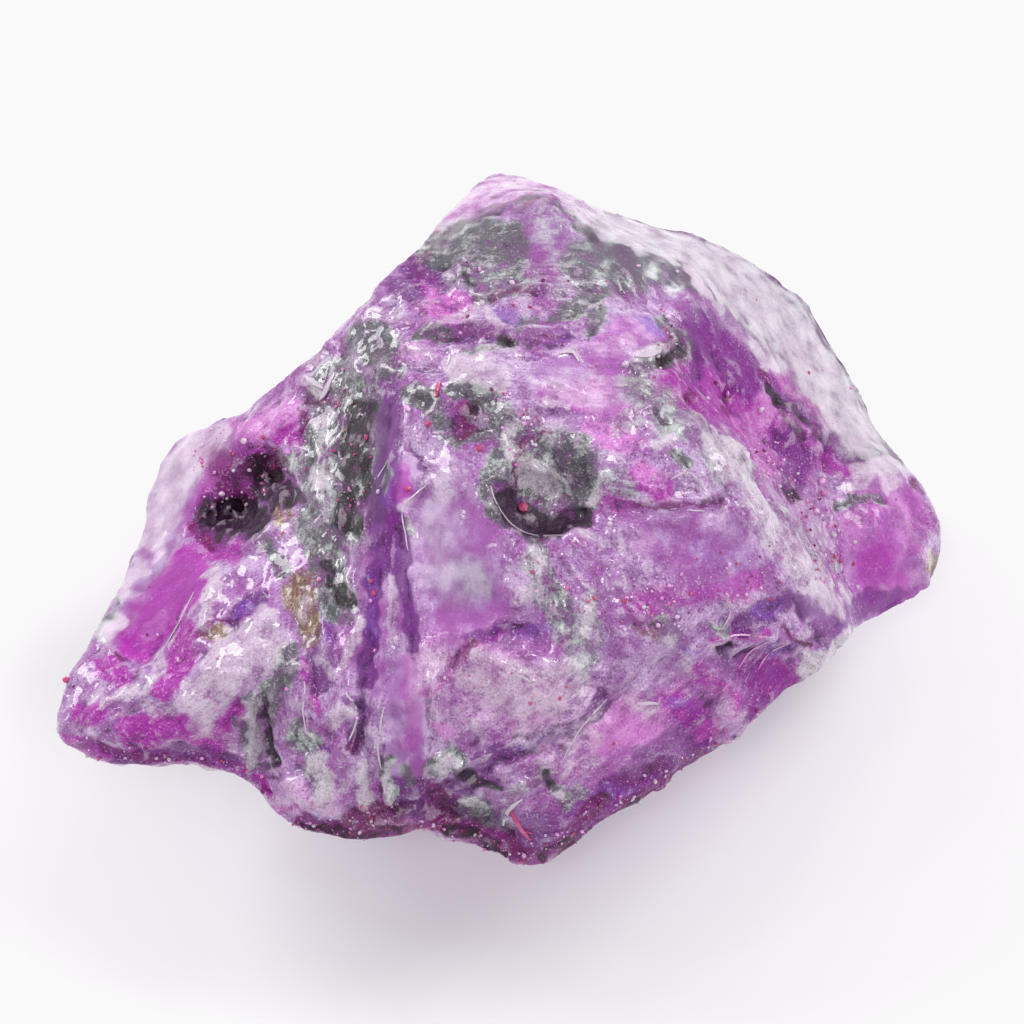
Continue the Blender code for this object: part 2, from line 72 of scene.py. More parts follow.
# Colour zones of the near side, drawn on the eye's picture. A stroke is its half width in
# pixels, its strength, and the pixels that it runs through.
ZONES = {
    # Plum marks deep purple seams, and the strokes named shade are painted shade.
    "plum": {
        "left column": (16, 1.0, (386, 400), (384, 460), (382, 520), (382, 560)),
        "left flute": (9, 1.0, (376, 560), (370, 620), (366, 680)),
        "right flute": (9, 1.0, (398, 520), (404, 570), (410, 620), (412, 650)),
        "lens line": (3, 0.78, (408, 445), (420, 460), (432, 475)),
        "column under the cleft": (14, 0.8, (330, 600), (325, 640), (320, 680)),
        "top left brow": (15, 0.9, (412, 268), (432, 268), (446, 282)),
        "lower band": (9, 1.0, (420, 790), (450, 774), (490, 756), (540, 742), (580, 724), (602, 702)),
        "dark flank": (16, 1.0, (425, 795), (455, 790), (480, 775)),
        "shell pocket": (13, 1.0, (742, 622), (762, 612), (790, 600)),
        "second shell pocket": (8, 1.0, (775, 648), (792, 650)),
        "triangle": (13, 0.7, (806, 604), (838, 618), (822, 636)),
        "valley top": (26, 0.8, (700, 334), (718, 352), (744, 374)),
        "valley low": (16, 0.9, (782, 440), (800, 460), (790, 480)),
        "lobe foot": (12, 0.7, (860, 606), (896, 598)),
        "brow streak": (9, 0.8, (455, 340), (480, 336), (500, 338)),
        "plateau": (26, 0.15, (680, 540), (730, 560), (700, 590)),
        "lower plateau": (22, 0.35, (610, 640), (650, 650), (690, 660)),
        "left slope foot": (9, 0.9, (120, 756), (180, 754), (232, 760)),
        "left seam": (8, 0.8, (352, 700), (362, 712), (352, 748)),
        "second left seam": (7, 0.8, (296, 744), (318, 752)),
        "low lobe": (9, 0.7, (305, 826), (340, 830)),
        "bottom tip": (13, 0.9, (520, 846), (560, 834), (600, 812)),
        "edge": (8, 0.8, (610, 806), (660, 778), (712, 744)),
        "left wedge": (7, 0.9, (236, 618), (252, 606), (262, 598)),
        "blue arc": (8, 0.8, (470, 640), (500, 628), (528, 628)),
        "brow": (10, 0.8, (392, 286), (408, 292), (420, 290)),
        "above the pit": (12, 0.6, (560, 458), (575, 470), (582, 490)),
        "skyline": (4, 0.62, (440, 240), (480, 216), (540, 198)),
        "column broad": (20, 0.3, (404, 640), (408, 700), (412, 760)),
        "low dark": (20, 0.9, (400, 800), (440, 800), (480, 826)),
        "tip broad": (22, 0.7, (520, 836), (580, 816), (640, 780)),
        "low lobe broad": (20, 0.25, (290, 806), (330, 818)),
        "valley shade": (40, 0.35, (690, 350), (728, 395), (796, 446)),
        "left slope shade": (22, 0.4, (186, 580), (160, 610), (140, 632)),
        "shell broad": (24, 0.6, (744, 660), (776, 684), (760, 706)),
        "hollow shade": (30, 0.6, (232, 462), (250, 490), (216, 520)),
        "pit rim shade": (9, 0.6, (204, 530), (222, 538), (252, 524)),
        "valley wall": (12, 1.0, (690, 330), (700, 352), (694, 372)),
        "left column wide": (18, 0.8, (388, 392), (386, 440), (386, 470)),
        "low right": (12, 0.9, (618, 786), (656, 770), (690, 748)),
        "rim left": (6, 0.5, (84, 742), (130, 754), (180, 764), (236, 766), (262, 790)),
        "valley band": (9, 0.8, (758, 378), (790, 404), (822, 434), (852, 458)),
        "right low": (12, 0.6, (640, 752), (680, 732), (702, 712)),
        "top shade": (24, 0.3, (460, 256), (500, 262)),
    },
    # Magenta is partly the stone's own colour and partly a painted glow. In the valley and left slope
    # strokes, and in the strokes named glow, it stands for light shining through thin crests and edges.
    "magenta": {
        "valley": (24, 1.0, (680, 378), (700, 395), (722, 400)),
        "valley wall": (18, 1.0, (722, 345), (738, 380), (752, 392)),
        "valley heart": (20, 1.0, (800, 432), (822, 452), (846, 456)),
        "valley rim": (16, 1.0, (776, 390), (806, 418), (848, 452)),
        "valley bottom": (14, 0.7, (750, 440), (766, 470), (800, 470)),
        "lobe": (22, 0.65, (872, 560), (878, 590), (896, 588)),
        "lobe top": (11, 0.6, (905, 492), (918, 520), (912, 548)),
        "left slope": (26, 1.0, (190, 574), (164, 606), (140, 636)),
        "left slope low": (12, 1.0, (186, 632), (176, 664), (166, 694)),
        "left tip": (13, 1.0, (104, 668), (120, 676)),
        "left tip low": (10, 1.0, (78, 716), (104, 712)),
        "left foot": (14, 0.9, (130, 730), (180, 728), (214, 744)),
        "plate foot": (9, 1.0, (206, 742), (226, 724), (240, 706)),
        "window": (13, 1.0, (286, 428), (296, 440)),
        "under the window": (12, 0.8, (222, 440), (212, 470), (204, 500)),
        "below the pits": (9, 1.0, (205, 548), (232, 554)),
        "brow spot": (9, 1.0, (424, 284), (440, 292)),
        "brow step": (11, 0.7, (432, 312), (452, 308), (466, 302)),
        "plateau break": (12, 0.8, (640, 478), (656, 488), (668, 494)),
        "plateau front": (14, 0.4, (628, 512), (644, 530), (652, 548)),
        "right of the pit": (10, 0.7, (598, 500), (616, 504)),
        "arc": (6, 1.0, (428, 694), (446, 670), (458, 654), (478, 644)),
        "second arc": (5, 0.7, (480, 638), (500, 634)),
        "right low": (16, 0.9, (676, 700), (690, 716), (704, 734)),
        "right low spot": (9, 1.0, (704, 728), (706, 742)),
        "shell inside": (20, 1.0, (758, 672), (778, 682), (764, 706)),
        "shell top": (5, 0.78, (712, 640), (736, 630), (758, 632)),
        "shell left": (10, 0.8, (700, 670), (716, 680), (728, 700)),
        "low lobe": (6, 1.0, (272, 808), (300, 808)),
        "low lobe left": (6, 1.0, (258, 778), (268, 792)),
        "edge": (6, 1.0, (430, 820), (462, 830), (500, 842)),
        "tip edge": (8, 1.0, (560, 830), (600, 808), (640, 786), (680, 764)),
        "plateau grains": (12, 0.6, (640, 604), (690, 592), (720, 594), (760, 576)),
        "plateau low": (12, 0.5, (640, 600), (666, 610)),
        "brow line": (3, 0.7, (380, 318), (402, 322)),
        "high line": (4, 0.55, (544, 278), (566, 272)),
        "rim line": (3, 0.7, (650, 258), (668, 264)),
        "between flutes": (9, 0.6, (388, 520), (392, 556)),
        "column": (12, 0.5, (410, 690), (412, 740)),
        "lens": (12, 0.6, (404, 470), (400, 492)),
        "high middle": (14, 0.5, (548, 396), (580, 402)),
        "middle": (12, 0.5, (612, 440), (640, 450)),
        "ridge foot": (10, 0.6, (520, 700), (545, 716)),
        "seam": (6, 0.7, (300, 660), (312, 690), (320, 712)),
        "low flutes": (6, 0.7, (380, 780), (384, 800)),
        "low centre": (12, 0.6, (606, 742), (640, 726)),
        "left hollow base": (34, 0.75, (240, 452), (228, 492), (212, 526)),
        "valley broad": (34, 0.8, (690, 352), (716, 388), (752, 420)),
        "right low broad": (34, 0.45, (620, 740), (680, 706), (730, 690)),
        "plateau broad": (40, 0.2, (640, 560), (690, 540), (720, 560)),
        "lobe broad": (40, 0.5, (880, 520), (884, 580), (896, 588)),
        "small pit": (14, 0.6, (462, 412), (468, 424)),
        "above the tip": (16, 0.5, (560, 810), (610, 780)),
        "valley deep": (30, 1.0, (706, 372), (742, 404), (784, 436)),
        "rim glow": (12, 0.6, (560, 836), (620, 798), (690, 750)),
        "valley edge": (12, 1.0, (742, 372), (776, 398), (812, 420), (852, 446)),
        "low edge run": (9, 0.6, (560, 838), (640, 790), (720, 735)),
        "ridge glow": (9, 0.5, (516, 722), (544, 712)),
        "valley end": (13, 0.8, (812, 444), (838, 456)),
        "foot run": (9, 0.7, (66, 742), (104, 750), (160, 756), (240, 770)),
    },
    "pink": {
        "window": (15, 1.0, (252, 432), (274, 420), (292, 410)),
        "window heart": (8, 1.0, (286, 420), (296, 408)),
        "valley heart": (13, 0.7, (744, 420), (762, 424), (756, 442)),
        "valley shelf": (9, 1.0, (758, 398), (768, 412)),
        "valley floor": (10, 0.7, (786, 420), (802, 424)),
        "brow spot": (8, 1.0, (430, 290), (438, 296)),
        "brow step": (9, 0.9, (446, 322), (462, 318)),
        "cleft": (7, 0.9, (332, 402), (344, 394)),
        "plateau break": (11, 0.9, (644, 470), (658, 484)),
        "high middle": (18, 0.5, (580, 392), (612, 404), (640, 412)),
        "middle": (16, 0.7, (596, 430), (624, 440)),
        "brow right": (14, 0.45, (604, 344), (628, 332), (642, 332)),
        "edge": (4, 0.9, (470, 776), (488, 772)),
        "low centre": (14, 0.6, (618, 738), (640, 724)),
        "lump": (11, 0.7, (412, 350), (430, 352)),
        "lobe": (9, 0.5, (880, 484), (896, 486)),
        "low lobe": (12, 0.5, (300, 794), (322, 806)),
        "left slope": (9, 0.5, (160, 620), (150, 636)),
        "low left": (7, 0.8, (438, 728), (446, 736)),
        "above the slope": (8, 0.5, (535, 306), (552, 302)),
        "top left slope": (14, 0.6, (440, 236), (474, 204), (502, 192), (540, 194)),
        "valley wall": (11, 0.4, (736, 404), (752, 424), (758, 446)),
        "far slope": (26, 0.35, (716, 300), (770, 340), (800, 372)),
        "grains broad": (46, 0.5, (446, 670), (520, 696), (560, 730)),
        "low lobe broad": (24, 0.4, (296, 796), (324, 806)),
        "ridge broad": (18, 0.4, (500, 726), (560, 710), (600, 700)),
        "valley low": (12, 0.5, (742, 424), (760, 450), (776, 470)),
        "brow step wide": (16, 0.5, (430, 312), (462, 308)),
        "left hollow": (16, 0.35, (216, 456), (222, 484)),
        "grains": (26, 0.6, (480, 690), (540, 700)),
        "low centre wide": (28, 0.75, (600, 728), (640, 718)),
        "lobe wide": (30, 0.35, (850, 520), (890, 520)),
        "grains glow": (18, 0.5, (520, 710), (570, 700)),
    },
    "maroon": {
        "window edge": (3, 0.78, (306, 412), (298, 438)),
        "left hollow": (22, 0.6, (226, 466), (244, 486), (268, 470)),
        "left hollow right": (10, 0.82, (262, 468), (276, 466)),
        "rim of the pits": (8, 0.82, (192, 528), (206, 540)),
        "high ledge": (5, 0.6, (494, 299), (512, 294), (546, 288)),
        "skyline spot": (4, 0.5, (514, 212), (540, 203)),
        "brow ledge": (6, 0.5, (500, 338), (540, 336), (566, 340)),
        "brow ledge left": (6, 0.5, (455, 334), (500, 332)),
        "brow left": (8, 0.5, (414, 266), (422, 272)),
        "small pit": (13, 0.82, (462, 412), (468, 424)),
        "valley spot": (5, 0.78, (727, 398), (730, 412)),
        "valley notch": (4, 0.78, (690, 392), (688, 404)),
        "valley edge": (6, 0.66, (762, 376), (770, 384)),
        "plateau line": (4, 0.6, (626, 503), (650, 508), (676, 505), (706, 508), (722, 500)),
        "arc": (4, 0.78, (450, 664), (462, 652), (474, 646)),
        "low edge": (12, 0.82, (352, 824), (380, 816), (400, 812)),
        "low right": (8, 0.5, (622, 784), (660, 764)),
        "tip": (9, 0.66, (566, 826), (604, 802)),
        "tip end": (8, 0.57, (512, 852), (540, 858)),
        "socket edge": (3, 0.78, (198, 637), (212, 624), (234, 618)),
        "left tip spot": (4, 0.78, (118, 656), (124, 660)),
        "low lobe edge": (4, 0.78, (262, 786), (268, 792)),
        "skyline left": (3, 0.4, (300, 372), (345, 336), (370, 312), (400, 284), (436, 246)),
        "seam": (4, 0.7, (354, 736), (350, 752)),
        "shell line": (3, 0.78, (782, 628), (798, 642), (812, 650)),
        "lobe rim": (4, 0.62, (912, 480), (924, 496)),
        "cleft crumbs": (5, 0.62, (312, 402), (332, 404)),
        "brown speck": (6, 0.57, (640, 622), (660, 632)),
        "low dark": (12, 0.6, (430, 806), (470, 832), (510, 850)),
        "rim low": (9, 0.75, (300, 828), (340, 834), (400, 834), (440, 822), (470, 836), (505, 856)),
        "rim right": (9, 0.6, (530, 862), (570, 846), (640, 800), (700, 756)),
        "hollow broad": (32, 0.2, (228, 470), (250, 488), (216, 520)),
        "pit worm": (3, 0.85, (550, 430), (528, 440), (513, 460), (512, 490)),
        "rim left": (5, 0.5, (100, 746), (150, 758), (200, 764)),
        "flank deep": (11, 0.5, (428, 790), (452, 800)),
    },
    "violet": {
        "spark": (7, 0.82, (648, 320), (656, 332)),
        "beside the spark": (4, 0.55, (636, 316), (646, 318)),
        "brow": (4, 0.78, (546, 340), (566, 338)),
        "brow left": (8, 0.66, (506, 316), (514, 326)),
        "left flute": (6, 0.49, (372, 580), (368, 640)),
        "low lobe": (9, 0.57, (316, 822), (340, 828)),
        "lower band": (5, 0.55, (520, 748), (546, 742), (560, 752)),
        "pocket": (9, 0.57, (754, 612), (782, 604)),
        "under the arc": (9, 0.49, (522, 632), (544, 628)),
        "low right": (10, 0.49, (672, 700), (690, 704)),
        "plateau": (16, 0.33, (700, 550), (744, 562)),
        "left wedge": (5, 0.78, (240, 616), (250, 608)),
        "tip": (9, 0.49, (600, 796), (630, 790)),
        "notch": (4, 0.78, (684, 648), (694, 650)),
        "shell": (8, 0.57, (770, 652), (790, 648)),
        "column": (9, 0.41, (330, 610), (326, 640)),
        "lobe": (9, 0.33, (884, 520), (896, 526)),
        "panel": (26, 0.25, (460, 540), (480, 600)),
        "left side": (6, 0.49, (352, 330), (360, 340)),
        "above the flutes": (8, 0.49, (380, 470), (384, 500)),
        "vein": (8, 0.5, (322, 500), (334, 524)),
    },
    "grey": {
        "left vein": (34, 0.9, (345, 390), (340, 440), (336, 480), (332, 520)),
        "left vein low": (18, 0.9, (318, 540), (330, 575), (340, 610)),
        "rib": (8, 1.0, (310, 425), (314, 470), (322, 505)),
        "left brow": (17, 1.0, (362, 340), (380, 334), (384, 366)),
        "skyline": (11, 0.9, (352, 345), (345, 365)),
        "below the brow": (10, 0.7, (356, 395), (365, 402)),
        "top": (26, 1.0, (444, 248), (480, 242), (510, 246)),
        "top low": (20, 0.7, (470, 266), (488, 286), (512, 284)),
        "top right": (26, 0.85, (580, 262), (612, 262), (632, 272)),
        "top brown": (12, 0.7, (574, 274), (590, 284)),
        "skyline dark": (5, 0.8, (570, 216), (584, 232), (612, 252), (640, 270)),
        "right brow": (12, 0.9, (560, 318), (576, 308), (598, 296)),
        "right brow low": (9, 0.9, (592, 326), (600, 318)),
        "ledge": (6, 1.0, (422, 332), (440, 336), (452, 336)),
        "ledge low": (7, 1.0, (500, 342), (512, 344)),
        "ledge blue": (7, 0.9, (518, 326), (534, 322)),
        "ledge shade": (5, 0.7, (470, 352), (500, 352)),
        "under the spot": (11, 1.0, (452, 388), (478, 392), (496, 400)),
        "left of the small pit": (11, 1.0, (412, 395), (430, 400), (446, 420)),
        "small pit": (9, 0.9, (444, 432), (462, 438), (484, 432)),
        "pit top": (14, 1.0, (500, 412), (510, 440), (500, 470)),
        "pit": (30, 0.95, (520, 470), (550, 480), (575, 480)),
        "pit right": (18, 1.0, (576, 450), (586, 480), (586, 500)),
        "pit brow": (10, 0.8, (524, 440), (550, 444)),
        "pit rim": (7, 1.0, (488, 470), (486, 500), (500, 524)),
        "right of the pit": (12, 0.5, (604, 480), (628, 486)),
        "drip": (18, 0.72, (536, 556), (546, 584), (560, 612)),
        "drip low": (20, 0.6, (566, 620), (584, 660)),
        "drip right": (12, 0.5, (590, 600), (592, 640)),
        "spark side": (8, 0.9, (662, 320), (672, 334)),
        "hollow": (14, 0.8, (640, 366), (664, 358), (680, 344)),
        "under the hollow": (18, 0.65, (630, 388), (656, 402), (676, 424)),
        "under the hollow left": (12, 0.5, (622, 424), (640, 416)),
        "plain brow": (9, 0.8, (660, 272), (686, 288)),
        "band top": (12, 0.6, (690, 420), (722, 446), (752, 482)),
        "band low": (11, 0.5, (772, 508), (800, 530), (830, 566)),
        "band left": (8, 0.5, (708, 452), (728, 490)),
        "plateau notch": (8, 0.9, (678, 458), (682, 464)),
        "lobe crease": (5, 0.9, (840, 505), (862, 500), (884, 500)),
        "slit": (8, 1.0, (250, 700), (250, 730), (252, 764)),
        "slit right": (6, 0.9, (276, 700), (272, 720)),
        "left of the ochre": (10, 0.9, (258, 536), (270, 548), (284, 570)),
        "right of the ochre": (8, 0.9, (310, 552), (318, 570)),
        "below the ochre": (11, 0.9, (286, 650), (284, 676), (270, 690)),
        "pale panel": (10, 0.9, (314, 764), (324, 790)),
        "low seam": (12, 0.7, (296, 736), (310, 742)),
        "low flute": (7, 0.9, (388, 756), (390, 796)),
        "low white": (8, 0.6, (364, 770), (366, 806)),
        "column foot": (8, 0.8, (406, 770), (412, 786)),
        "low middle": (10, 0.9, (436, 768), (456, 758)),
        "low facet": (6, 1.0, (468, 800), (486, 808)),
        "low dark": (14, 0.5, (470, 812), (500, 822)),
        "dark knot": (8, 1.0, (546, 772), (556, 784)),
        "knot side": (9, 0.6, (520, 784), (540, 776)),
        "low bubble": (6, 0.8, (716, 624), (724, 630)),
        "panel": (16, 0.45, (466, 566), (478, 584)),
        "left flute": (9, 0.8, (340, 596), (346, 612)),
        "lens edge": (5, 0.8, (388, 462), (382, 492)),
        "panel corner": (5, 0.8, (408, 516), (410, 530)),
        "low centre": (10, 0.6, (560, 800), (580, 790)),
        "bevel": (8, 0.7, (850, 632), (830, 650), (806, 672)),
        "skyline right": (8, 0.6, (700, 264), (694, 256)),
        "far slope": (40, 0.7, (620, 234), (740, 280), (810, 350), (880, 440)),
        "far slope low": (14, 0.4, (770, 310), (784, 330)),
        "left slope": (5, 0.8, (118, 598), (96, 640)),
        "foot": (4, 0.8, (238, 724), (240, 744)),
        "grains": (10, 0.6, (662, 626), (676, 634)),
        "knob": (9, 0.7, (286, 462), (300, 470)),
        "panel broad": (34, 0.3, (450, 500), (462, 580)),
        "pit brow wide": (22, 0.7, (510, 440), (556, 448), (584, 462)),
        "top haze": (34, 0.35, (450, 262), (520, 268), (590, 276)),
        "top middle": (26, 0.45, (536, 212), (552, 250), (546, 290)),
        "far slope left": (20, 0.22, (450, 236), (490, 196), (540, 194)),
        "band": (16, 0.35, (718, 440), (760, 512), (792, 556), (836, 604)),
        "left far slope": (28, 0.35, (210, 440), (170, 490), (146, 560), (110, 616)),
    },
    # Pale is partly the stone's own frosted faces and partly painted reflection of the bright
    # surroundings on the far slopes and the left plate. The strokes named glint are painted highlights.
    "pale": {
        "top left slope": (15, 0.6, (440, 236), (474, 204), (502, 192), (540, 194)),
        "top right slope": (17, 0.7, (580, 214), (640, 238), (700, 258)),
        "right slope": (26, 0.68, (718, 268), (766, 306), (796, 340)),
        "right slope low": (26, 0.68, (800, 350), (830, 394), (862, 434)),
        "right slope line": (7, 1.0, (690, 278), (706, 298)),
        "right slope edge": (7, 1.0, (752, 348), (768, 368)),
        "left slope": (17, 0.75, (214, 434), (184, 466), (168, 504), (154, 540)),
        "left slope low": (9, 0.8, (138, 568), (124, 592)),
        "left slope strip": (8, 0.9, (118, 622), (100, 640)),
        "pale spot": (15, 1.0, (456, 368), (480, 372), (498, 382)),
        "lump": (9, 0.8, (408, 348), (432, 352)),
        "white pebble": (5, 0.78, (480, 303), (487, 305)),
        "streak": (6, 0.9, (495, 312), (500, 330)),
        "second streak": (5, 0.62, (472, 306), (480, 328)),
        "brow": (9, 0.8, (446, 324), (460, 316)),
        "brow left": (6, 0.8, (380, 313), (398, 315)),
        "brow glint": (4, 0.55, (556, 353), (574, 350)),
        "brow crest": (3, 0.78, (576, 350), (580, 360)),
        "high arc": (4, 0.62, (538, 378), (560, 386)),
        "second high arc": (4, 0.62, (566, 392), (590, 398)),
        "third high arc": (6, 0.8, (545, 405), (566, 408)),
        "high right": (11, 0.5, (600, 350), (628, 344)),
        "hollow lip": (5, 0.78, (636, 356), (660, 352)),
        "pit brow": (8, 0.8, (516, 424), (504, 440), (512, 458)),
        "pit light": (20, 0.5, (524, 462), (542, 472), (554, 484)),
        "pit crumbs": (9, 0.7, (524, 412), (540, 424)),
        "pit flap": (5, 0.78, (584, 534), (600, 540)),
        "pit side": (7, 0.9, (600, 488), (594, 504)),
        "drip": (6, 0.9, (528, 542), (540, 556), (540, 574)),
        "panel": (26, 0.45, (430, 530), (440, 570)),
        "panel top": (12, 0.6, (444, 462), (462, 474), (448, 490)),
        "panel crease": (5, 0.7, (400, 506), (416, 496), (432, 476)),
        "white furrow": (5, 0.78, (395, 574), (391, 610), (390, 642)),
        "left furrow": (6, 1.0, (358, 622), (352, 640), (347, 662)),
        "left oval": (9, 1.0, (336, 724), (344, 710)),
        "left ring": (9, 0.7, (322, 660), (330, 672)),
        "second left seam": (2, 0.78, (304, 700), (306, 730), (310, 738)),
        "low white": (8, 1.0, (362, 766), (366, 790), (366, 808)),
        "low white left": (5, 0.62, (350, 770), (340, 792)),
        "low flute": (5, 0.62, (390, 764), (388, 796)),
        "panel foot": (9, 0.9, (316, 764), (326, 780), (324, 800)),
        "rib": (7, 0.85, (318, 424), (328, 412)),
        "second rib": (6, 0.8, (314, 470), (322, 486)),
        "cleft blades": (5, 0.7, (306, 378), (322, 388)),
        "second cleft blade": (4, 0.62, (322, 398), (334, 372)),
        "cleft knob": (6, 0.8, (302, 364), (316, 358)),
        "plate": (24, 1.0, (206, 700), (222, 662), (256, 642)),
        "plate right": (14, 0.9, (262, 618), (272, 640), (266, 660)),
        "plate left": (11, 0.9, (190, 690), (206, 730)),
        "plate top": (8, 1.0, (216, 574), (212, 600), (208, 624)),
        "left knob": (8, 0.9, (132, 686), (112, 702)),
        "second left knob": (8, 0.8, (160, 662), (146, 690)),
        "third left knob": (6, 0.7, (84, 700), (96, 694)),
        "left line": (2, 0.78, (184, 618), (170, 646), (160, 654)),
        "left glints": (10, 0.6, (150, 712), (180, 710)),
        "foot glints": (9, 0.5, (190, 724), (236, 744)),
        "slit": (7, 0.9, (248, 706), (250, 740), (252, 764)),
        "low lobe": (9, 0.4, (290, 796), (312, 786)),
        "low lobe right": (6, 0.8, (344, 822), (350, 828)),
        "grains": (24, 0.5, (446, 706), (490, 690), (530, 690)),
        "blob": (5, 0.78, (476, 718), (484, 734), (494, 730)),
        "second blob": (3, 0.78, (484, 738), (496, 728)),
        "low middle": (7, 0.8, (434, 774), (452, 762)),
        "high blob": (7, 1.0, (656, 446), (672, 440)),
        "drip glints": (7, 0.8, (510, 596), (526, 592)),
        "shell arc": (3, 0.7, (510, 674), (530, 674), (538, 688)),
        "low arc": (3, 0.7, (576, 732), (570, 752), (564, 772)),
        "second low arc": (4, 0.7, (606, 702), (592, 714)),
        "low right blob": (6, 1.0, (644, 703), (656, 704)),
        "low right blob left": (8, 0.6, (636, 700), (646, 716)),
        "low centre": (9, 0.7, (590, 742), (598, 734)),
        "low centre foot": (9, 0.6, (586, 764), (594, 758)),
        "knot light": (6, 0.9, (552, 788), (560, 794)),
        "band": (15, 0.75, (718, 440), (734, 474), (760, 512), (792, 556), (836, 604)),
        "band low": (9, 0.9, (770, 540), (806, 580), (842, 606)),
        "band shoulder": (11, 0.5, (800, 500), (826, 540)),
        "lobe top": (10, 0.9, (858, 472), (892, 466)),
        "lobe shelf": (8, 0.8, (850, 490), (862, 484)),
        "lobe spot": (7, 0.8, (888, 484), (894, 486)),
        "lobe right": (9, 0.4, (908, 560), (914, 580)),
        "plateau grains": (7, 0.7, (668, 634), (676, 644)),
        "right dots": (5, 0.62, (620, 538), (624, 548)),
        "second right dots": (5, 0.7, (622, 574), (624, 582)),
        "wide drip": (9, 0.6, (590, 606), (586, 630)),
        "bevel": (6, 0.7, (846, 628), (824, 652), (800, 674)),
        "low right": (7, 0.6, (684, 664), (690, 672)),
        "right low": (9, 0.5, (716, 690), (722, 708)),
        "low facet": (4, 0.7, (466, 800), (484, 808)),
        "ochre light": (6, 0.8, (308, 598), (302, 622)),
        "grains broad": (44, 0.55, (450, 680), (520, 700), (560, 730)),
        "slope left wide": (12, 0.8, (198, 440), (172, 470), (158, 520)),
        "pit heart": (16, 1.0, (532, 470), (552, 488)),
        "drip haze": (14, 0.4, (532, 552), (544, 590)),
        "low lobe broad": (24, 0.5, (296, 796), (324, 806)),
        "low centre broad": (26, 0.3, (600, 744), (650, 726)),
        "high mid wide": (22, 0.55, (566, 384), (604, 392)),
        "vein side": (9, 0.6, (326, 440), (320, 480), (326, 510)),
        "grains glass": (28, 0.85, (470, 670), (520, 694), (566, 686)),
        "plateau haze": (44, 0.2, (620, 570), (690, 560), (740, 570)),
        "panel low": (30, 0.3, (460, 590), (470, 620)),
        "window": (16, 0.3, (252, 432), (286, 418)),
    },
    "coal": {
        "left vein": (15, 0.95, (362, 412), (352, 450), (358, 490), (346, 520)),
        "left vein foot": (6, 0.9, (326, 562), (330, 582)),
        "left vein low": (8, 0.9, (338, 586), (350, 604)),
        "left pit": (19, 1.0, (214, 514), (234, 520), (250, 514)),
        "left pit right": (7, 1.0, (240, 512), (252, 516)),
        "second left pit": (16, 1.0, (264, 482), (282, 492)),
        "slit": (5, 0.78, (266, 700), (266, 728), (274, 758)),
        "slit foot": (5, 0.7, (258, 768), (272, 764)),
        "pit": (14, 1.0, (502, 500), (510, 518), (530, 526), (556, 526), (580, 520)),
        "pit wall": (5, 0.62, (496, 482), (502, 502)),
        "small pit": (8, 0.7, (470, 404), (480, 412)),
        "above the small pit": (6, 0.5, (416, 396), (424, 402)),
        "hollow": (6, 0.9, (664, 362), (678, 348)),
        "hollow foot": (5, 0.55, (662, 372), (670, 368)),
        "diagonal": (4, 0.55, (654, 404), (668, 422)),
        "valley spot": (6, 0.9, (770, 392), (776, 400)),
        "valley spot right": (5, 0.7, (782, 404), (788, 412)),
        "valley floor spot": (6, 0.9, (790, 490), (798, 494)),
        "shell hollow": (5, 0.78, (722, 654), (732, 646)),
        "shell slot": (3, 0.62, (740, 658), (750, 646)),
        "brow ledge": (4, 0.45, (522, 342), (556, 343)),
        "brow ledge left": (4, 0.55, (428, 332), (448, 334)),
        "ledge nick": (5, 0.62, (502, 340), (508, 342)),
        "high spot": (4, 0.62, (468, 276), (474, 280)),
        "low dark": (12, 0.4, (446, 806), (474, 816), (500, 834)),
        "low dark top": (7, 0.8, (462, 772), (480, 786), (500, 784)),
        "low dark left": (8, 0.5, (396, 808), (416, 806)),
        "knot": (5, 0.78, (546, 772), (548, 782)),
        "plateau end": (5, 0.55, (708, 502), (718, 498)),
        "plateau notch": (3, 0.55, (678, 458), (682, 464)),
        "left of the pit": (4, 0.39, (584, 462), (586, 480)),
        "low seam": (4, 0.55, (354, 704), (358, 710)),
        "tip": (4, 0.47, (604, 800), (612, 798)),
        "skyline": (4, 0.55, (470, 220), (500, 208)),
        "skyline right": (4, 0.62, (574, 224), (584, 232)),
        "low right": (5, 0.47, (640, 776), (650, 770)),
        "skyline ridge": (5, 0.5, (436, 246), (470, 218), (510, 201), (546, 198), (562, 214), (592, 240)),
        "column shade": (10, 0.45, (380, 410), (378, 470), (374, 520)),
        "second left pit side": (9, 0.8, (280, 502), (296, 494)),
        "hollow dark": (10, 0.6, (238, 474), (262, 462)),
        "pit corner": (13, 0.8, (512, 508), (530, 520)),
        "rim dark": (5, 0.6, (300, 832), (350, 836), (400, 830)),
        "rim dark low": (6, 0.7, (450, 830), (480, 842), (506, 856)),
        "rim dark right": (5, 0.55, (540, 858), (590, 834), (640, 804)),
        "valley ribs": (6, 0.55, (776, 396), (790, 420), (800, 440)),
        "valley wall": (5, 0.45, (690, 340), (700, 362)),
        "valley band": (4, 0.6, (774, 392), (796, 410), (822, 436)),
    },
    "rust": {
        "ochre": (9, 0.9, (300, 582), (297, 604), (306, 632)),
        "ochre top": (5, 0.7, (296, 574), (314, 576)),
        "tan knob": (7, 0.8, (274, 508), (280, 526)),
        "tan edge": (3, 0.8, (288, 500), (292, 524), (286, 540)),
        "socket": (6, 1.0, (210, 634), (230, 632)),
        "lobe rim": (6, 1.0, (934, 552), (930, 568)),
        "lobe rim top": (3, 0.7, (914, 482), (922, 492)),
        "speck": (3, 0.9, (728, 392), (729, 396)),
        "top": (9, 0.3, (576, 272), (586, 280)),
        "crumbs": (8, 0.35, (634, 382), (644, 384)),
        "plateau end": (6, 0.4, (712, 500), (718, 504)),
